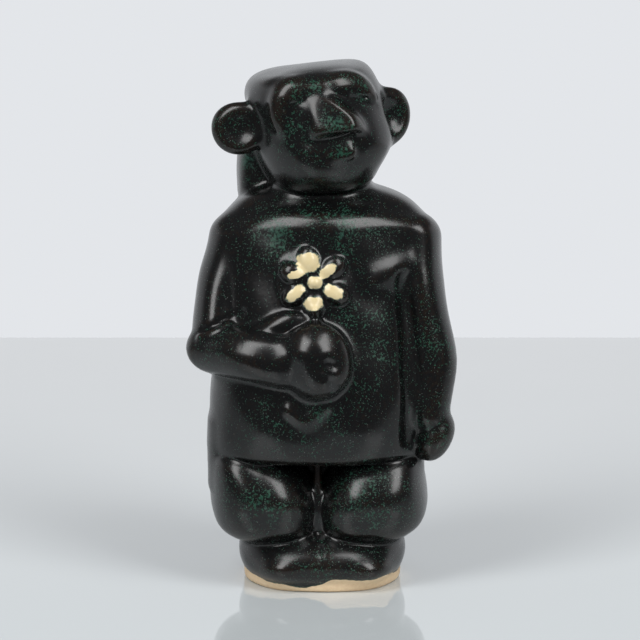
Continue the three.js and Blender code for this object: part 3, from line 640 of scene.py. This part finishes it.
def shape_eyes(clay):
    """Brows, the hollows below them, and shut lids with a slit."""
    for name, brow in (("right_brow", RIGHT_BROW), ("left_brow", LEFT_BROW)):
        clay.press(*HOLLOW_BOX, eye_hollow(brow), HEAD)
        knots = [knot(on_face(x, z, out - radius), radius) for x, z, radius, out in brow]
        clay.add(name, roll(knots), FILLET, HEAD)
    for name, x, z in (("right_eyelid", -10.6, 33.6), ("left_eyelid", 11.5, 33.4)):
        clay.add(name, ball(on_face(x, z, -2.5), (4.6, 2.2, 2.0)), FILLET, HEAD)
        slit = [on_face(x + step, z - 1.2 + 0.03 * step * step, -0.9) for step in (-3.4, 0, 3.4)]
        clay.carve(roll([knot(place, 0.6) for place in slit]), CREASE, HEAD)


def shape_nose(clay):
    """A wedge cut by planes: its underside, its front facet and its right flank."""
    wedge = [
        level(14, 10.2, 9.0, 6.0, 2.6, -26.6),
        level(24, 9.8, 9.6, 6.0, 2.4, -26.6),
        level(27.5, 8.6, 9.2, 6.0, 1.4, -26.2),
        level(30.5, 7.0, 7.4, 6.0, -0.2, -25.6),
        level(33.5, 5.4, 5.0, 5.0, -1.8, -24.8),
        level(36.5, 4.0, 2.0, 4.0, -2.6, -24.0),
    ]
    nose = column(wedge, power=2.0, edge=2.0)
    underside = ((2, -34, 22.6), (0, 0.35, 0.94))
    facet = ((2.4, -32.2, 29), (0.19, 0.94, -0.28))
    flank = ((-3.5, -31.0, 28), (0.45, 0.85, -0.26))
    for (place, inside), soft in ((underside, 3.0), (facet, 0.6), (flank, 2.6)):
        nose = both(nose, beyond(place, inside, 24), soft)
    clay.add("nose", nose, FILLET, HEAD)


def shape_mouth(clay):
    """An upper lip, a block that faces the front for the lower, and a furrow between."""
    upper = [on_face(x, z, -1.2) for x, z in ((-4, 21.2), (2, 20.9), (7, 21.8))]
    clay.add("upper_lip", roll([knot(place, 1.5) for place in upper]), FILLET, HEAD)
    lip = HEAD.child(on_face(2.9, 14.6), turned("Z", -HEAD_TURN))
    block = [level(z, 5.2, 0.3, 4) for z in (-3.0, 2.6)]
    clay.add("lower_lip", column(block, power=2.4, edge=2.4), FILLET, lip)
    mouth = [(-9.5, 18.4, 0.5), (-6, 18.5, 0.75), (-1, 19.0, 1.0), (4, 20.2, 1.0), (8.2, 22.0, 0.8)]
    clay.carve(roll([knot(on_face(x, z, 0.75), radius) for x, z, radius in mouth]), SNUG, HEAD)


# Arms and hands

SHOULDER_RISE = 77
ELBOW = (-36.2, -14, HIP_Z + 40.0)
FIST_RISE = 38.4
PALM = on_torso(-1.4, FIST_RISE, 1)
FIST = (10.6, 10.4, 13.0)


def shape_right_arm(clay):
    upper_arm = [
        knot((-31.0, -3, HIP_Z + SHOULDER_RISE), 8.4, 12),
        knot((-35.2, -8, HIP_Z + 57), 8.9, 12.4),
        knot(ELBOW, 9.2, 12),
    ]
    clay.add("right_upper_arm", roll(upper_arm), WIDE)
    forearm = [
        knot(ELBOW, 9.3, 12),
        knot(on_torso(-25, 40, 1), 9.3, 9.0),
        knot(on_torso(-13, FIST_RISE, 0.5), 9.4, 8.4),
    ]
    clay.add("right_forearm", roll(forearm, pieces=8), SNUG)
    fold = [(-42, 92), (-37, 94.0), (-32, 96.5), (-27, 99.0)]
    clay.groove([(x, z + 1.6) for x, z in fold], 1.0, 0.2, SNUG)
    clay.ridge("right_forearm", [(x, z - 0.6) for x, z in fold[:3]], 1.4, -0.5, SNUG)


def shape_right_hand(clay):
    """A fist of three lumps, a curled finger, the thumb and the web of clay below."""
    clay.add("right_fist", ball(PALM, FIST), WIDE)
    x, y, z = PALM
    clay.add("right_fist", ball((x - 0.6, y - 2.6, z + 4.6), (8.6, 7.6, 6.0)), WIDE)
    clay.add("right_fist", ball((x + 2.4, y - 1.6, z - 4.0), (7.4, 8.0, 7.0)), WIDE)
    turns = np.radians(np.linspace(118, -15, 6))
    finger = [(x + 8.2 * math.cos(turn), y - 2.4, z + 10.2 * math.sin(turn)) for turn in turns]
    clay.add("right_finger_roll", roll([knot(place, 3.2) for place in finger]), WIDE)
    clay.groove([(x + 4.4, z + 1.4), (x + 6.4, z + 0.2)], 1.0, 0.1, FILLET)
    clay.groove([(x + 3.0, z - 3.0), (x + 5.4, z - 5.0), (x + 7.2, z - 8.6)], 1.2, 0.9, FILLET)
    thumb = [
        knot(on_torso(-30, 45.8, -1.4), 2.6),
        knot(on_torso(-20, 47.6, -0.8), 3.6),
        knot(on_torso(-11.0, 51.6, -0.8), 4.2),
        knot(on_torso(-5.0, 51.6, -0.6), 3.6),
    ]
    clay.add("right_thumb", roll(thumb), SNUG)
    web = [(-10.5, HIP_Z + 20.8), (-5.2, HIP_Z + 17.4), (-1.8, HIP_Z + 19.6), (1.6, HIP_Z + 22.4)]
    clay.ridge("torso", web, 2.4, -1.5, FILLET)


def shape_left_arm(clay):
    arm = [
        knot((34.6, -3, HIP_Z + SHOULDER_RISE), 8.4, 15),
        knot((35.8, -9, HIP_Z + 57), 8.4, 13),
        knot((39.6, -13, HIP_Z + 35), 8.6, 10.5),
        knot((38.8, -16, HIP_Z + 16), 6.6, 8.5),
    ]
    clay.add("left_arm", roll(arm), FILLET)
    hand = FIGURE.child((40.8, -16, HIP_Z + 8.2), turned("Y", 26))
    clay.add("left_hand", ball((0, 0, 0), (6.2, 8.5, 9.2)), FILLET, hand)
    line = [(29.6, HIP_Z + 66), (30.4, HIP_Z + 50), (31.4, HIP_Z + 30), (31.6, HIP_Z + 8)]
    clay.groove(line, 2.0, 1.8, blend=5.0)


# Flower

FLOWER_RISE = FIST_RISE + FIST[2] + 14.2
FLOWER = FIGURE.child(on_torso(-1.8, FLOWER_RISE), turned("X", -8))
# Petals: turn in degrees and reach from the flower's middle
PETAL_TURNS = [(40, 7.6), (104, 8.0), (158, 7.4), (212, 7.8), (267, 7.8), (333, 7.8)]
PETALS = [
    (f"petal_{number}", FLOWER.child((0, 0, 0), turned("Y", -turn)), reach)
    for number, (turn, reach) in enumerate(PETAL_TURNS, start=1)
]
PETAL_HALVES = (5.4, 3.2, 4.0)


def shape_flower(clay):
    """Petals on a disc of the chest's clay, with a furrow round the centre, and the stem."""
    clay.add("torso", ball((0, 1.6, 0), (13.4, 4.0, 13.4)), SNUG, FLOWER)
    for name, spoke, reach in PETALS:
        clay.add(name, ball((reach, -0.6, 0), PETAL_HALVES), CREASE, spoke)
    turns = np.linspace(0, 2 * math.pi, 13)
    ring = [knot((3.6 * math.cos(turn), -4.0, 3.4 * math.sin(turn)), 1.3) for turn in turns]
    clay.carve(roll(ring, pieces=2), CREASE, FLOWER)
    clay.add("flower_centre", ball((0, -1.2, 0), (2.8, 3.0, 2.5)), CREASE, FLOWER)
    stem = [(-1.4, HIP_Z + 49.5), (-1.6, HIP_Z + 53), (-1.8, HIP_Z + 56.5)]
    clay.ridge("flower_stem", stem, 1.8, 0.2, CREASE)


# Back and the whole

STRAND = [(0.9, 31), (1, 16), (1.08, 2), (1.04, -7)]  # of hair: spread and height above the chin
STRAND_GAP = 5.4
HAIR_MIDDLE = -3.2


def shape_back(clay):
    """Spine, shoulder blades, seat and the strands of the hair."""
    spine = [(0, HIP_Z + rise) for rise in (14, 40, 66, 80)]
    clay.groove(spine, 3.0, 2.2, WIDE, BACK)
    for side in (-1, 1):
        blade = [(side * 13, HIP_Z + 60), (side * 18, HIP_Z + 70), (side * 22, HIP_Z + 78)]
        clay.ridge("torso", blade, 6.0, -4.8, WIDE, BACK)
        clay.ridge("torso", [(side * 9, HIP_Z + 10), (side * 22, HIP_Z + 10)], 9.0, -7.0, WIDE, BACK)
    seat = [(0, HIP_Z + rise) for rise in (-8, 2, 13)]
    clay.groove(seat, 2.4, 1.6, WIDE, BACK)
    for step in range(-3, 4):
        x = HAIR_MIDDLE + step * STRAND_GAP
        clay.groove([(x * spread, CHIN_Z + rise) for spread, rise in STRAND], 1.5, 0.7, SNUG, BACK)


WAVE_HEIGHT = 0.16


def uneven(clay):
    """The slow waves that hands leave in clay."""
    x, y, z = np.meshgrid(*clay.axes, indexing="ij", sparse=True)
    wave = np.sin(0.23 * x + 0.11 * z + 1.0) * np.sin(0.19 * z - 0.13 * y)
    wave = wave + 0.6 * np.sin(0.31 * z + 0.17 * x + 2.0)
    clay.distance += np.float32(WAVE_HEIGHT) * wave


DRAIN_RADIUS = 8
DRAIN_HEIGHTS = (-6, 34)


def cut_drain(clay):
    """The hole in the foot that slip is poured out of."""
    hole = [level(z, DRAIN_RADIUS, DRAIN_RADIUS, DRAIN_RADIUS) for z in DRAIN_HEIGHTS]
    clay.carve(column(hole, power=2, edge=2), CREASE)


def shape_all():
    """The whole figure, its forms joined and cut one after another."""
    clay = Clay()
    steps = (
        shape_base, shape_feet, shape_legs, shape_torso, shape_neck, shape_head, shape_hair,
        shape_crown, shape_ears, shape_eyes, shape_nose, shape_mouth, shape_right_arm,
        shape_left_arm, shape_flower, shape_right_hand, shape_back, uneven, cut_drain,
    )
    for step in steps:
        step(clay)
    return clay


# The surface and its sections


class Surface(NamedTuple):
    """Points with their normals and how far they stand out, and quads with their sections."""

    points: np.ndarray
    normals: np.ndarray
    crests: np.ndarray
    quads: np.ndarray
    owners: np.ndarray


def neighbours(quads):
    """Pairs of quads that share an edge."""
    edges = np.sort(np.stack([quads, np.roll(quads, -1, axis=1)], axis=2), axis=2).reshape(-1, 2)
    keys = edges[:, 0].astype(np.int64) * (int(quads.max()) + 1) + edges[:, 1]
    order = np.argsort(keys, kind="stable")
    same = keys[order][1:] == keys[order][:-1]
    faces = order // 4
    return faces[:-1][same], faces[1:][same]


def without_islands(quads, owners):
    """Gives patches that are cut off from their section to a neighbour, and drops loose bits."""
    first, second = neighbours(quads)
    same = owners[first] == owners[second]
    a, b = first[same], second[same]
    patch = np.arange(len(quads))
    while True:
        lowest = np.minimum(patch[a], patch[b])
        joined = patch.copy()
        np.minimum.at(joined, a, lowest)
        np.minimum.at(joined, b, lowest)
        joined = joined[joined]
        if np.array_equal(joined, patch):
            break
        patch = joined
    sizes = np.bincount(patch, minlength=len(quads))
    main = np.full(len(NODES), -1)
    for node in np.unique(owners):
        patches = patch[owners == node]
        main[node] = patches[sizes[patches].argmax()]
    stray = patch != main[owners]
    owners = owners.copy()
    left = len(quads) + 1
    while stray.sum() < left:
        left = stray.sum()
        for one, other in ((first, second), (second, first)):
            edge = stray[one] & ~stray[other]
            owners[one[edge]] = owners[other[edge]]
            stray[one[edge]] = False
    return quads[~stray], owners[~stray]


def surface_of(clay):
    """Meshes the clay, with normals and crests from its distances."""
    soft = np.ascontiguousarray(blurred(clay.distance, SOFTENING / STEP))
    grid = openvdb.FloatGrid(FAR)
    grid.copyFromArray(soft)
    points, quads = grid.convertToQuads(isovalue=0.0)
    points = points.astype(float)
    slope = np.stack(np.gradient(soft, STEP), axis=-1)
    for _ in range(2):
        away = sampled(slope, points)
        off = sampled(soft, points) / np.maximum((away**2).sum(axis=1), LEAST_SLOPE)
        points = points - off[:, None] * away / STEP
    normals = sampled(slope, points)
    normals = normals / np.linalg.norm(normals, axis=1)[:, None]
    crests = sampled(blurred(soft, BROAD / STEP), points)
    middles = np.rint(points[quads].mean(axis=1)).astype(int)
    owners = clay.owner[middles[:, 0], middles[:, 1], middles[:, 2]]
    quads, owners = without_islands(quads.astype(int), owners)
    return Surface(points * STEP + np.array(LOW_CORNER), normals, crests, quads, owners)


# Masks: a number at each point of the surface

GLAZE_HEIGHT = 3.8  # of the glaze's lower edge above the table


def glaze_edge(points):
    """How far a point lies below the edge of the glaze."""
    x, y, z = points.T
    front = np.clip((-y - 4) / 12, 0, 1)
    swell = np.clip((x - 1) / 3, 0, 1) * np.clip((29 - x) / 6, 0, 1)
    tongue = np.exp(-(((x + 5) / 7) ** 2))
    line = GLAZE_HEIGHT + 0.5 * np.sin(x * 0.21 + 1) + 0.4 * np.sin(y * 0.3 + x * 0.1)
    return line + front * (1.7 * swell - 1.4 * tongue) - z


# Yellow paint on the flower: place across and up, half length, half width, turn in degrees
PAINT = [
    (-2.4, 7.0, 4.2, 3.6, 8),
    (-6.4, 2.9, 3.3, 1.5, 18),
    (4.5, 4.0, 3.6, 1.9, 38),
    (6.5, -3.3, 3.6, 2.4, -22),
    (-0.5, -7.4, 3.5, 2.5, 5),
    (-6.6, -3.7, 4.2, 2.0, 42),
    (0.1, 0.0, 2.7, 2.3, 0),
]


def yellow_mask(points):
    """1 in the middle of a dab of yellow paint, 0 at its edge and below 0 outside."""
    across, depth, up = FLOWER.local(points).T
    best = np.full(len(points), -1.0)
    for x, z, length, width, turn in PAINT:
        angle = math.radians(turn)
        along = (across - x) * math.cos(angle) + (up - z) * math.sin(angle)
        aside = (up - z) * math.cos(angle) - (across - x) * math.sin(angle)
        inside = 1 - np.abs(along / length) ** 3 - np.abs(aside / width) ** 3
        best = np.maximum(best, np.where(depth < 1.5, inside, -1))
    return best


# Places where the green crystals gather: place, spread and how thick they lie
HEAD_CRYSTALS = [
    (on_face(-10, 37), 2.4, 0.8),
    (on_face(-5, 37.4), 2.4, 0.8),
    (on_face(2, 37.6), 2.2, 0.8),
    (on_face(7, 37.8), 2.4, 0.85),
    (on_face(12, 36.8), 2.4, 0.85),
    (on_face(1, 26, 6), 4.6, 0.95),
    (on_face(-11, 32.5), 2.2, 0.7),
    (on_face(12, 32.4), 2.2, 0.7),
    (on_face(3, 14.8), 3.6, 0.75),
    (on_face(-4, 3), 7, 0.6),
    (on_face(10, 3), 7, 0.6),
    (on_face(-13, 22), 7, 0.6),
    ((-33, -9, 22), 6, 0.65),
    ((31, -8, 22), 6, 0.62),
    ((-2, 27, 22), 9, 0.5),
    ((5, 6, 41), 8, 0.35),
]
CRYSTALS = [(HEAD.figure(place), spread, amount) for place, spread, amount in HEAD_CRYSTALS]
CRYSTALS += [
    (on_torso(8, 84), 7, 0.95),
    (on_torso(-4, 85), 6, 0.8),
    (on_torso(-15, 82), 8, 0.88),
    (on_torso(20, 82), 6, 0.5),
    (on_torso(15, 52), 9, 0.5),
    (on_torso(24, 42), 9, 0.55),
    (on_torso(14, 32), 7, 0.5),
    (on_torso(2, 16), 8, 0.6),
    (on_torso(-16, 16), 9, 0.45),
    ((-20, -28, 33), 8, 0.80),
    ((-31, -20, 36), 6, 0.65),
    ((15, -28, 34), 10, 0.76),
    ((30, -22, 32), 6, 0.6),
    ((-2, -29, 9), 8, 0.5),
    ((18, -28, 8), 7, 0.45),
    ((-25, 2, 150), 6, 0.9),
    ((36, -24, 110), 8, 0.4),
    ((42, -20, 88), 9, 0.5),
    ((42, -22, 60), 8, 0.55),
    ((-36, -24, 88), 9, 0.35),
    ((-18, 27, 112), 10, 0.5),
    ((16, 28, 80), 11, 0.5),
    ((-14, 30, 56), 9, 0.45),
    ((20, 24, 34), 8, 0.5),
    ((-24, 22, 30), 8, 0.5),
    ((42, 4, 100), 10, 0.45),
    ((-42, 4, 104), 10, 0.4),
]


def crystal_mask(points):
    """How thick the crystals lie, from 0 to 1."""
    thick = np.zeros(len(points))
    for place, spread, amount in CRYSTALS:
        off = ((points - np.array(place)) ** 2).sum(axis=1)
        thick = np.maximum(thick, amount * np.exp(-0.5 * off / spread**2))
    return thick


# Pieces

SLOTS = {"base_slab": "bare_clay", "flower_centre": "yellow_glaze"}
SLOTS |= {name: "yellow_glaze" for name, _, _ in PETALS}


def shell(quads):
    """A patch of the surface closed by an inner skin: the points it uses and its faces."""
    used, local = np.unique(quads, return_inverse=True)
    local = local.reshape(-1, 4)
    count = len(used)
    starts = local.ravel()
    ends = np.roll(local, -1, axis=1).ravel()
    there = starts * count + ends
    back = ends * count + starts
    rim = ~np.isin(there, back)
    walls = np.stack([ends[rim], starts[rim], starts[rim] + count, ends[rim] + count], axis=1)
    return used, np.concatenate([local, local[:, ::-1] + count, walls])


def add_object(name, data):
    """A new object in the scene."""
    thing = bpy.data.objects.new(name, data)
    bpy.context.scene.collection.objects.link(thing)
    return thing


def make_piece(node, surface, masks, material):
    """One section as a closed shell with its masks, in place of its node."""
    used, faces = shell(surface.quads[surface.owners == NODES.index(node)])
    outer = surface.points[used]
    normals = surface.normals[used]
    inner = outer - SKIN * normals
    points = (np.concatenate([outer, inner]) + FIGURE_PLACE) * MM
    mesh = bpy.data.meshes.new(node + "_skin")
    mesh.from_pydata(points.tolist(), [], faces.tolist())
    for name, values in masks.items():
        attribute = mesh.attributes.new(name, "FLOAT", "POINT")
        attribute.data.foreach_set("value", np.tile(values[used], 2).astype(np.float32))
    mesh.shade_smooth()
    mesh.normals_split_custom_set_from_vertices(np.concatenate([normals, -normals]).tolist())
    mesh.materials.append(material)
    piece = add_object(node + "_skin", mesh)
    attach(piece, "root")
    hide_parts(node)


# Materials


class Graph:
    """Short calls that add shader nodes to a material or a world and link them."""

    def __init__(self, owner, shader="Principled BSDF", coordinates="Object"):
        owner.use_nodes = True
        self.tree = owner.node_tree
        self.shader = self.tree.nodes[shader]
        self.place = self.node("ShaderNodeTexCoord").outputs[coordinates]

    def node(self, kind, **settings):
        node = self.tree.nodes.new(kind)
        for name, value in settings.items():
            setattr(node, name, value)
        return node

    def put(self, socket, value):
        if isinstance(value, bpy.types.NodeSocket):
            self.tree.links.new(value, socket)
        else:
            socket.default_value = value

    def math(self, operation, first, second):
        node = self.node("ShaderNodeMath", operation=operation)
        self.put(node.inputs[0], first)
        self.put(node.inputs[1], second)
        return node.outputs[0]

    def times(self, first, second):
        return self.math("MULTIPLY", first, second)

    def plus(self, first, second):
        return self.math("ADD", first, second)

    def step(self, value, low, high):
        """0 below low and 1 above high, smooth between."""
        node = self.node("ShaderNodeMapRange", interpolation_type="SMOOTHSTEP")
        for socket, number in zip(node.inputs, (value, low, high)):
            self.put(socket, number)
        return node.outputs[0]

    def mix(self, share, first, second):
        node = self.node("ShaderNodeMix", data_type="RGBA")
        self.put(node.inputs[0], share)
        for socket, colour in zip(node.inputs[6:8], (first, second)):
            self.put(socket, (*colour, 1) if isinstance(colour, tuple) else colour)
        return node.outputs[2]

    def noise(self, size, detail=2.0):
        """Cloudy noise whose patches are about size millimetres wide."""
        node = self.node("ShaderNodeTexNoise")
        self.put(node.inputs["Vector"], self.place)
        node.inputs["Scale"].default_value = 1 / (size * MM)
        node.inputs["Detail"].default_value = detail
        return node.outputs[0]

    def dots(self, size):
        """Distance from the nearest of scattered dots, and two random numbers for each dot."""
        node = self.node("ShaderNodeTexVoronoi")
        self.put(node.inputs["Vector"], self.place)
        node.inputs["Scale"].default_value = 1 / (size * MM)
        split = self.node("ShaderNodeSeparateColor")
        self.put(split.inputs[0], node.outputs["Color"])
        return node.outputs["Distance"], split.outputs[0], split.outputs[1]

    def specks(self, size, radius, share):
        """Small dots on a share of the scattered places, and a random number for each dot."""
        near, chance, tone = self.dots(size)
        chosen = self.math("LESS_THAN", chance, share)
        return self.times(self.step(near, radius, radius * 0.5), chosen), tone

    def mask(self, name):
        """A number painted on the points of the mesh."""
        return self.node("ShaderNodeAttribute", attribute_name=name).outputs["Fac"]

    def axes(self):
        """X, Y and Z of the place."""
        node = self.node("ShaderNodeSeparateXYZ")
        self.put(node.inputs[0], self.place)
        return node.outputs

    def camera_ray(self):
        """1 for what the camera sees straight, 0 in reflections and for light."""
        return self.node("ShaderNodeLightPath").outputs["Is Camera Ray"]

    def shade(self, **values):
        """Gives the shader its inputs, named with _ for a space."""
        for name, value in values.items():
            self.put(self.shader.inputs[name.replace("_", " ")], value)


BLACK = (0.0050, 0.0052, 0.0055)
BROWN = (0.0125, 0.0080, 0.0058)
DEEP_GREEN = (0.006, 0.034, 0.020)
GREEN = (0.022, 0.090, 0.057)
FILM = (0.030, 0.105, 0.075)
GREY_GREEN = (0.070, 0.115, 0.095)
# Pale grey of the specks that paint small glints of sheen on the glaze
SHEEN_GREY = (0.16, 0.18, 0.17)
CREAM = (0.86, 0.74, 0.47)
LEMON = (0.82, 0.67, 0.36)
CLAY_LIGHT = (0.96, 0.77, 0.52)
CLAY_DARK = (0.80, 0.57, 0.35)

# Green specks: spacing in millimetres, radius in spacings and share of places
SPECKS = [(0.75, 0.40, 0.16), (0.5, 0.45, 0.26), (0.36, 0.45, 0.42)]
# Pale specks of painted sheen: spacing in millimetres, radius in spacings and share of places
SHEEN_SPECKS = (0.55, 0.30, 0.06)

# Roughness of clean glaze, and what crystals, patches and bare clay add to it
GLOSS = 0.18
CRYSTAL_ROUGH = 0.14
PATCH_ROUGH = 0.08
BARE_ROUGH = 0.5
RELIEF = 0.3 * MM
RELIEF_STRENGTH = 0.10


def crystal_glaze(graph):
    """Black glaze, brown where thin, with green crystals and pale specks of painted sheen: the colour,
    and where the crystals lie.
    """
    thick = graph.mask("crystals")
    crest = graph.times(graph.mask("crest"), 0.25)
    thin = graph.plus(graph.noise(1.2, detail=3), crest)
    body = graph.mix(graph.step(thin, 0.5, 0.8), BLACK, BROWN)
    cloud = graph.step(graph.noise(6, detail=3), 0.35, 0.7)
    gather = graph.times(graph.plus(thick, 0.07), graph.plus(cloud, 0.35))
    film = graph.step(graph.plus(thick, graph.noise(1.4, detail=4)), 1.25, 1.55)
    body = graph.mix(graph.times(film, 0.85), body, FILM)
    fleck = graph.plus(graph.noise(0.9, detail=4), graph.times(gather, 0.18))
    fleck = graph.step(fleck, 0.66, 0.74)
    body = graph.mix(fleck, body, graph.mix(graph.noise(1.5), DEEP_GREEN, GREEN))
    crystals = graph.math("MAXIMUM", film, fleck)
    for size, radius, share in SPECKS:
        speck, tone = graph.specks(size, radius, graph.times(gather, share))
        pale = graph.mix(graph.step(tone, 0.6, 1), GREEN, GREY_GREEN)
        green = graph.mix(graph.step(tone, 0.15, 0.8), DEEP_GREEN, pale)
        body = graph.mix(speck, body, green)
        crystals = graph.math("MAXIMUM", crystals, speck)
    # Pale specks all over the glaze: painted glints of sheen
    sheen, _ = graph.specks(*SHEEN_SPECKS)
    return graph.mix(sheen, body, SHEEN_GREY), crystals


def painted(graph, body):
    """Yellow paint with a ragged, grey-green edge over a glaze's colour."""
    ragged = graph.times(graph.math("SUBTRACT", graph.noise(1.6), 0.5), 1.3)
    yellow = graph.plus(graph.mask("yellow"), ragged)
    petal = graph.mix(graph.noise(2.5), CREAM, LEMON)
    body = graph.mix(graph.step(yellow, -0.15, 0.15), body, GREY_GREEN)
    return graph.mix(graph.step(yellow, 0.05, 0.4), body, petal)


def unglazed(graph, body):
    """Clay below the wavy edge of the glaze: the colour, and where the clay is bare."""
    wave = graph.times(graph.math("SUBTRACT", graph.noise(5), 0.5), 1.6)
    below = graph.plus(graph.mask("below_glaze"), wave)
    clay = graph.mix(graph.noise(1.1, detail=4), CLAY_LIGHT, CLAY_DARK)
    body = graph.mix(graph.step(below, -0.7, -0.1), body, DEEP_GREEN)
    bare = graph.step(below, -0.1, 0.15)
    return graph.mix(bare, body, clay), bare


def finish(name):
    """Glaze, yellow where the flower is painted and bare clay below the glaze's edge."""
    material = bpy.data.materials.new(name)
    graph = Graph(material)
    glaze, crystals = crystal_glaze(graph)
    body, bare = unglazed(graph, painted(graph, glaze))
    rough = graph.plus(GLOSS, graph.times(crystals, CRYSTAL_ROUGH))
    rough = graph.plus(rough, graph.times(graph.noise(7), PATCH_ROUGH))
    rough = graph.plus(rough, graph.times(bare, BARE_ROUGH))
    bump = graph.node("ShaderNodeBump")
    bump.inputs["Strength"].default_value = RELIEF_STRENGTH
    bump.inputs["Distance"].default_value = RELIEF
    height = graph.plus(graph.times(crystals, 0.35), graph.noise(2.4, detail=3))
    graph.put(bump.inputs["Height"], height)
    graph.shade(Base_Color=body, Roughness=rough, Normal=bump.outputs[0])
    return material


# Stage, lights and camera

# The table, in metres
TABLE_BACK = 0.455
TABLE_FRONT = -0.14
TABLE_REACH = 5.0
TABLE_NEAR = (0.60, 0.65, 0.665)
TABLE_FAR = (0.85, 0.875, 0.89)
TABLE_CLOUD = (0.5, 0.5, 0.5)
TABLE_GLOW = 0.13  # light that the camera sees in the far end
TABLE_ROUGH = 0.04
TABLE_IOR = 1.6

WALL = (0.77, 0.79, 0.82)
ROOM = (0.10, 0.10, 0.105)

# Two softboxes, in metres, degrees and watts
SOFTBOX_SIZE = (0.4, 0.9)
SOFTBOX_AIM = (0, 0, 0.09)
SOFTBOX_AZIMUTH = 42
SOFTBOX_ELEVATION = 41
SOFTBOX_POWER = 6.8

# The camera, in millimetres in the figure's frame
CAMERA_TARGET = (0, 0, 93.3)
CAMERA_PLACE = (0, -1500, 378)
VIEW_WIDTH = 227.52  # at the target
SENSOR_WIDTH = 36


def make_stage():
    """A glossy pale table, paler towards its back."""
    mesh = bpy.data.meshes.new("table")
    front = [(-TABLE_REACH, TABLE_FRONT, 0), (TABLE_REACH, TABLE_FRONT, 0)]
    back = [(TABLE_REACH, TABLE_BACK, 0), (-TABLE_REACH, TABLE_BACK, 0)]
    mesh.from_pydata(front + back, [], [(0, 1, 2, 3)])
    material = bpy.data.materials.new("pale_table")
    graph = Graph(material)
    past_front = graph.math("SUBTRACT", graph.axes()["Y"], TABLE_FRONT)
    far = graph.math("DIVIDE", past_front, TABLE_BACK - TABLE_FRONT)
    cloud = graph.times(graph.noise(60), 0.06)
    tone = graph.mix(cloud, graph.mix(far, TABLE_NEAR, TABLE_FAR), TABLE_CLOUD)
    glow = graph.times(graph.camera_ray(), graph.times(far, TABLE_GLOW))
    graph.shade(Base_Color=tone, Emission_Color=tone, Emission_Strength=glow)
    graph.shade(Roughness=TABLE_ROUGH, IOR=TABLE_IOR)
    mesh.materials.append(material)
    table = add_object("table", mesh)


def make_world():
    """A pale wall behind the figure and a dim room before it. The camera sees pale all round."""
    world = bpy.data.worlds.new("studio")
    bpy.context.scene.world = world
    graph = Graph(world, "Background", "Generated")
    way = graph.axes()
    behind = graph.step(way["Y"], -0.1, 0.45)
    low = graph.step(way["Z"], 0.52, 0.27)
    pale = graph.math("MAXIMUM", graph.camera_ray(), graph.times(behind, low))
    graph.shade(Color=graph.mix(pale, ROOM, WALL))


def make_softbox(name, azimuth):
    """A tall lamp 1 m from the figure, turned towards it."""
    light = bpy.data.lights.new(name, "AREA")
    light.shape = "RECTANGLE"
    light.size, light.size_y = SOFTBOX_SIZE
    light.energy = SOFTBOX_POWER
    lamp = add_object(name, light)
    a, e = math.radians(azimuth), math.radians(SOFTBOX_ELEVATION)
    away = Vector((math.sin(a) * math.cos(e), -math.cos(a) * math.cos(e), math.sin(e)))
    lamp.location = Vector(SOFTBOX_AIM) + away
    lamp.rotation_euler = away.to_track_quat("Z", "Y").to_euler()


def make_camera():
    """The photograph's view: from a little above, with a long lens."""
    target = Vector((FIGURE_PLACE + CAMERA_TARGET).tolist()) * MM
    place = Vector((FIGURE_PLACE + CAMERA_PLACE).tolist()) * MM
    camera = bpy.data.cameras.new("camera")
    camera.sensor_width = SENSOR_WIDTH
    camera.lens = SENSOR_WIDTH * (place - target).length / (VIEW_WIDTH * MM)
    eye = add_object("camera", camera)
    eye.location = place
    eye.rotation_euler = (place - target).to_track_quat("Z", "Y").to_euler()
    bpy.context.scene.camera = eye


# Where a crest's glaze begins to run thin, and the way to its thinnest
CREST_START = 0.12
CREST_SPAN = 0.5


def make_figure():
    """Every section of the figure, with its masks and finish."""
    surface = surface_of(shape_all())
    masks = {
        "crystals": crystal_mask(surface.points),
        "crest": np.clip((surface.crests - CREST_START) / CREST_SPAN, 0, 1),
        "yellow": yellow_mask(surface.points),
        "below_glaze": glaze_edge(surface.points),
    }
    materials = {slot: finish(slot) for slot in ("black_glaze", "yellow_glaze", "bare_clay")}
    for node in NODES:
        make_piece(node, surface, masks, materials[SLOTS.get(node, "black_glaze")])


bpy.context.scene.view_settings.view_transform = "Standard"
make_camera()
make_stage()
make_world()
make_softbox("left_softbox", -SOFTBOX_AZIMUTH)
make_softbox("right_softbox", SOFTBOX_AZIMUTH)
make_figure()
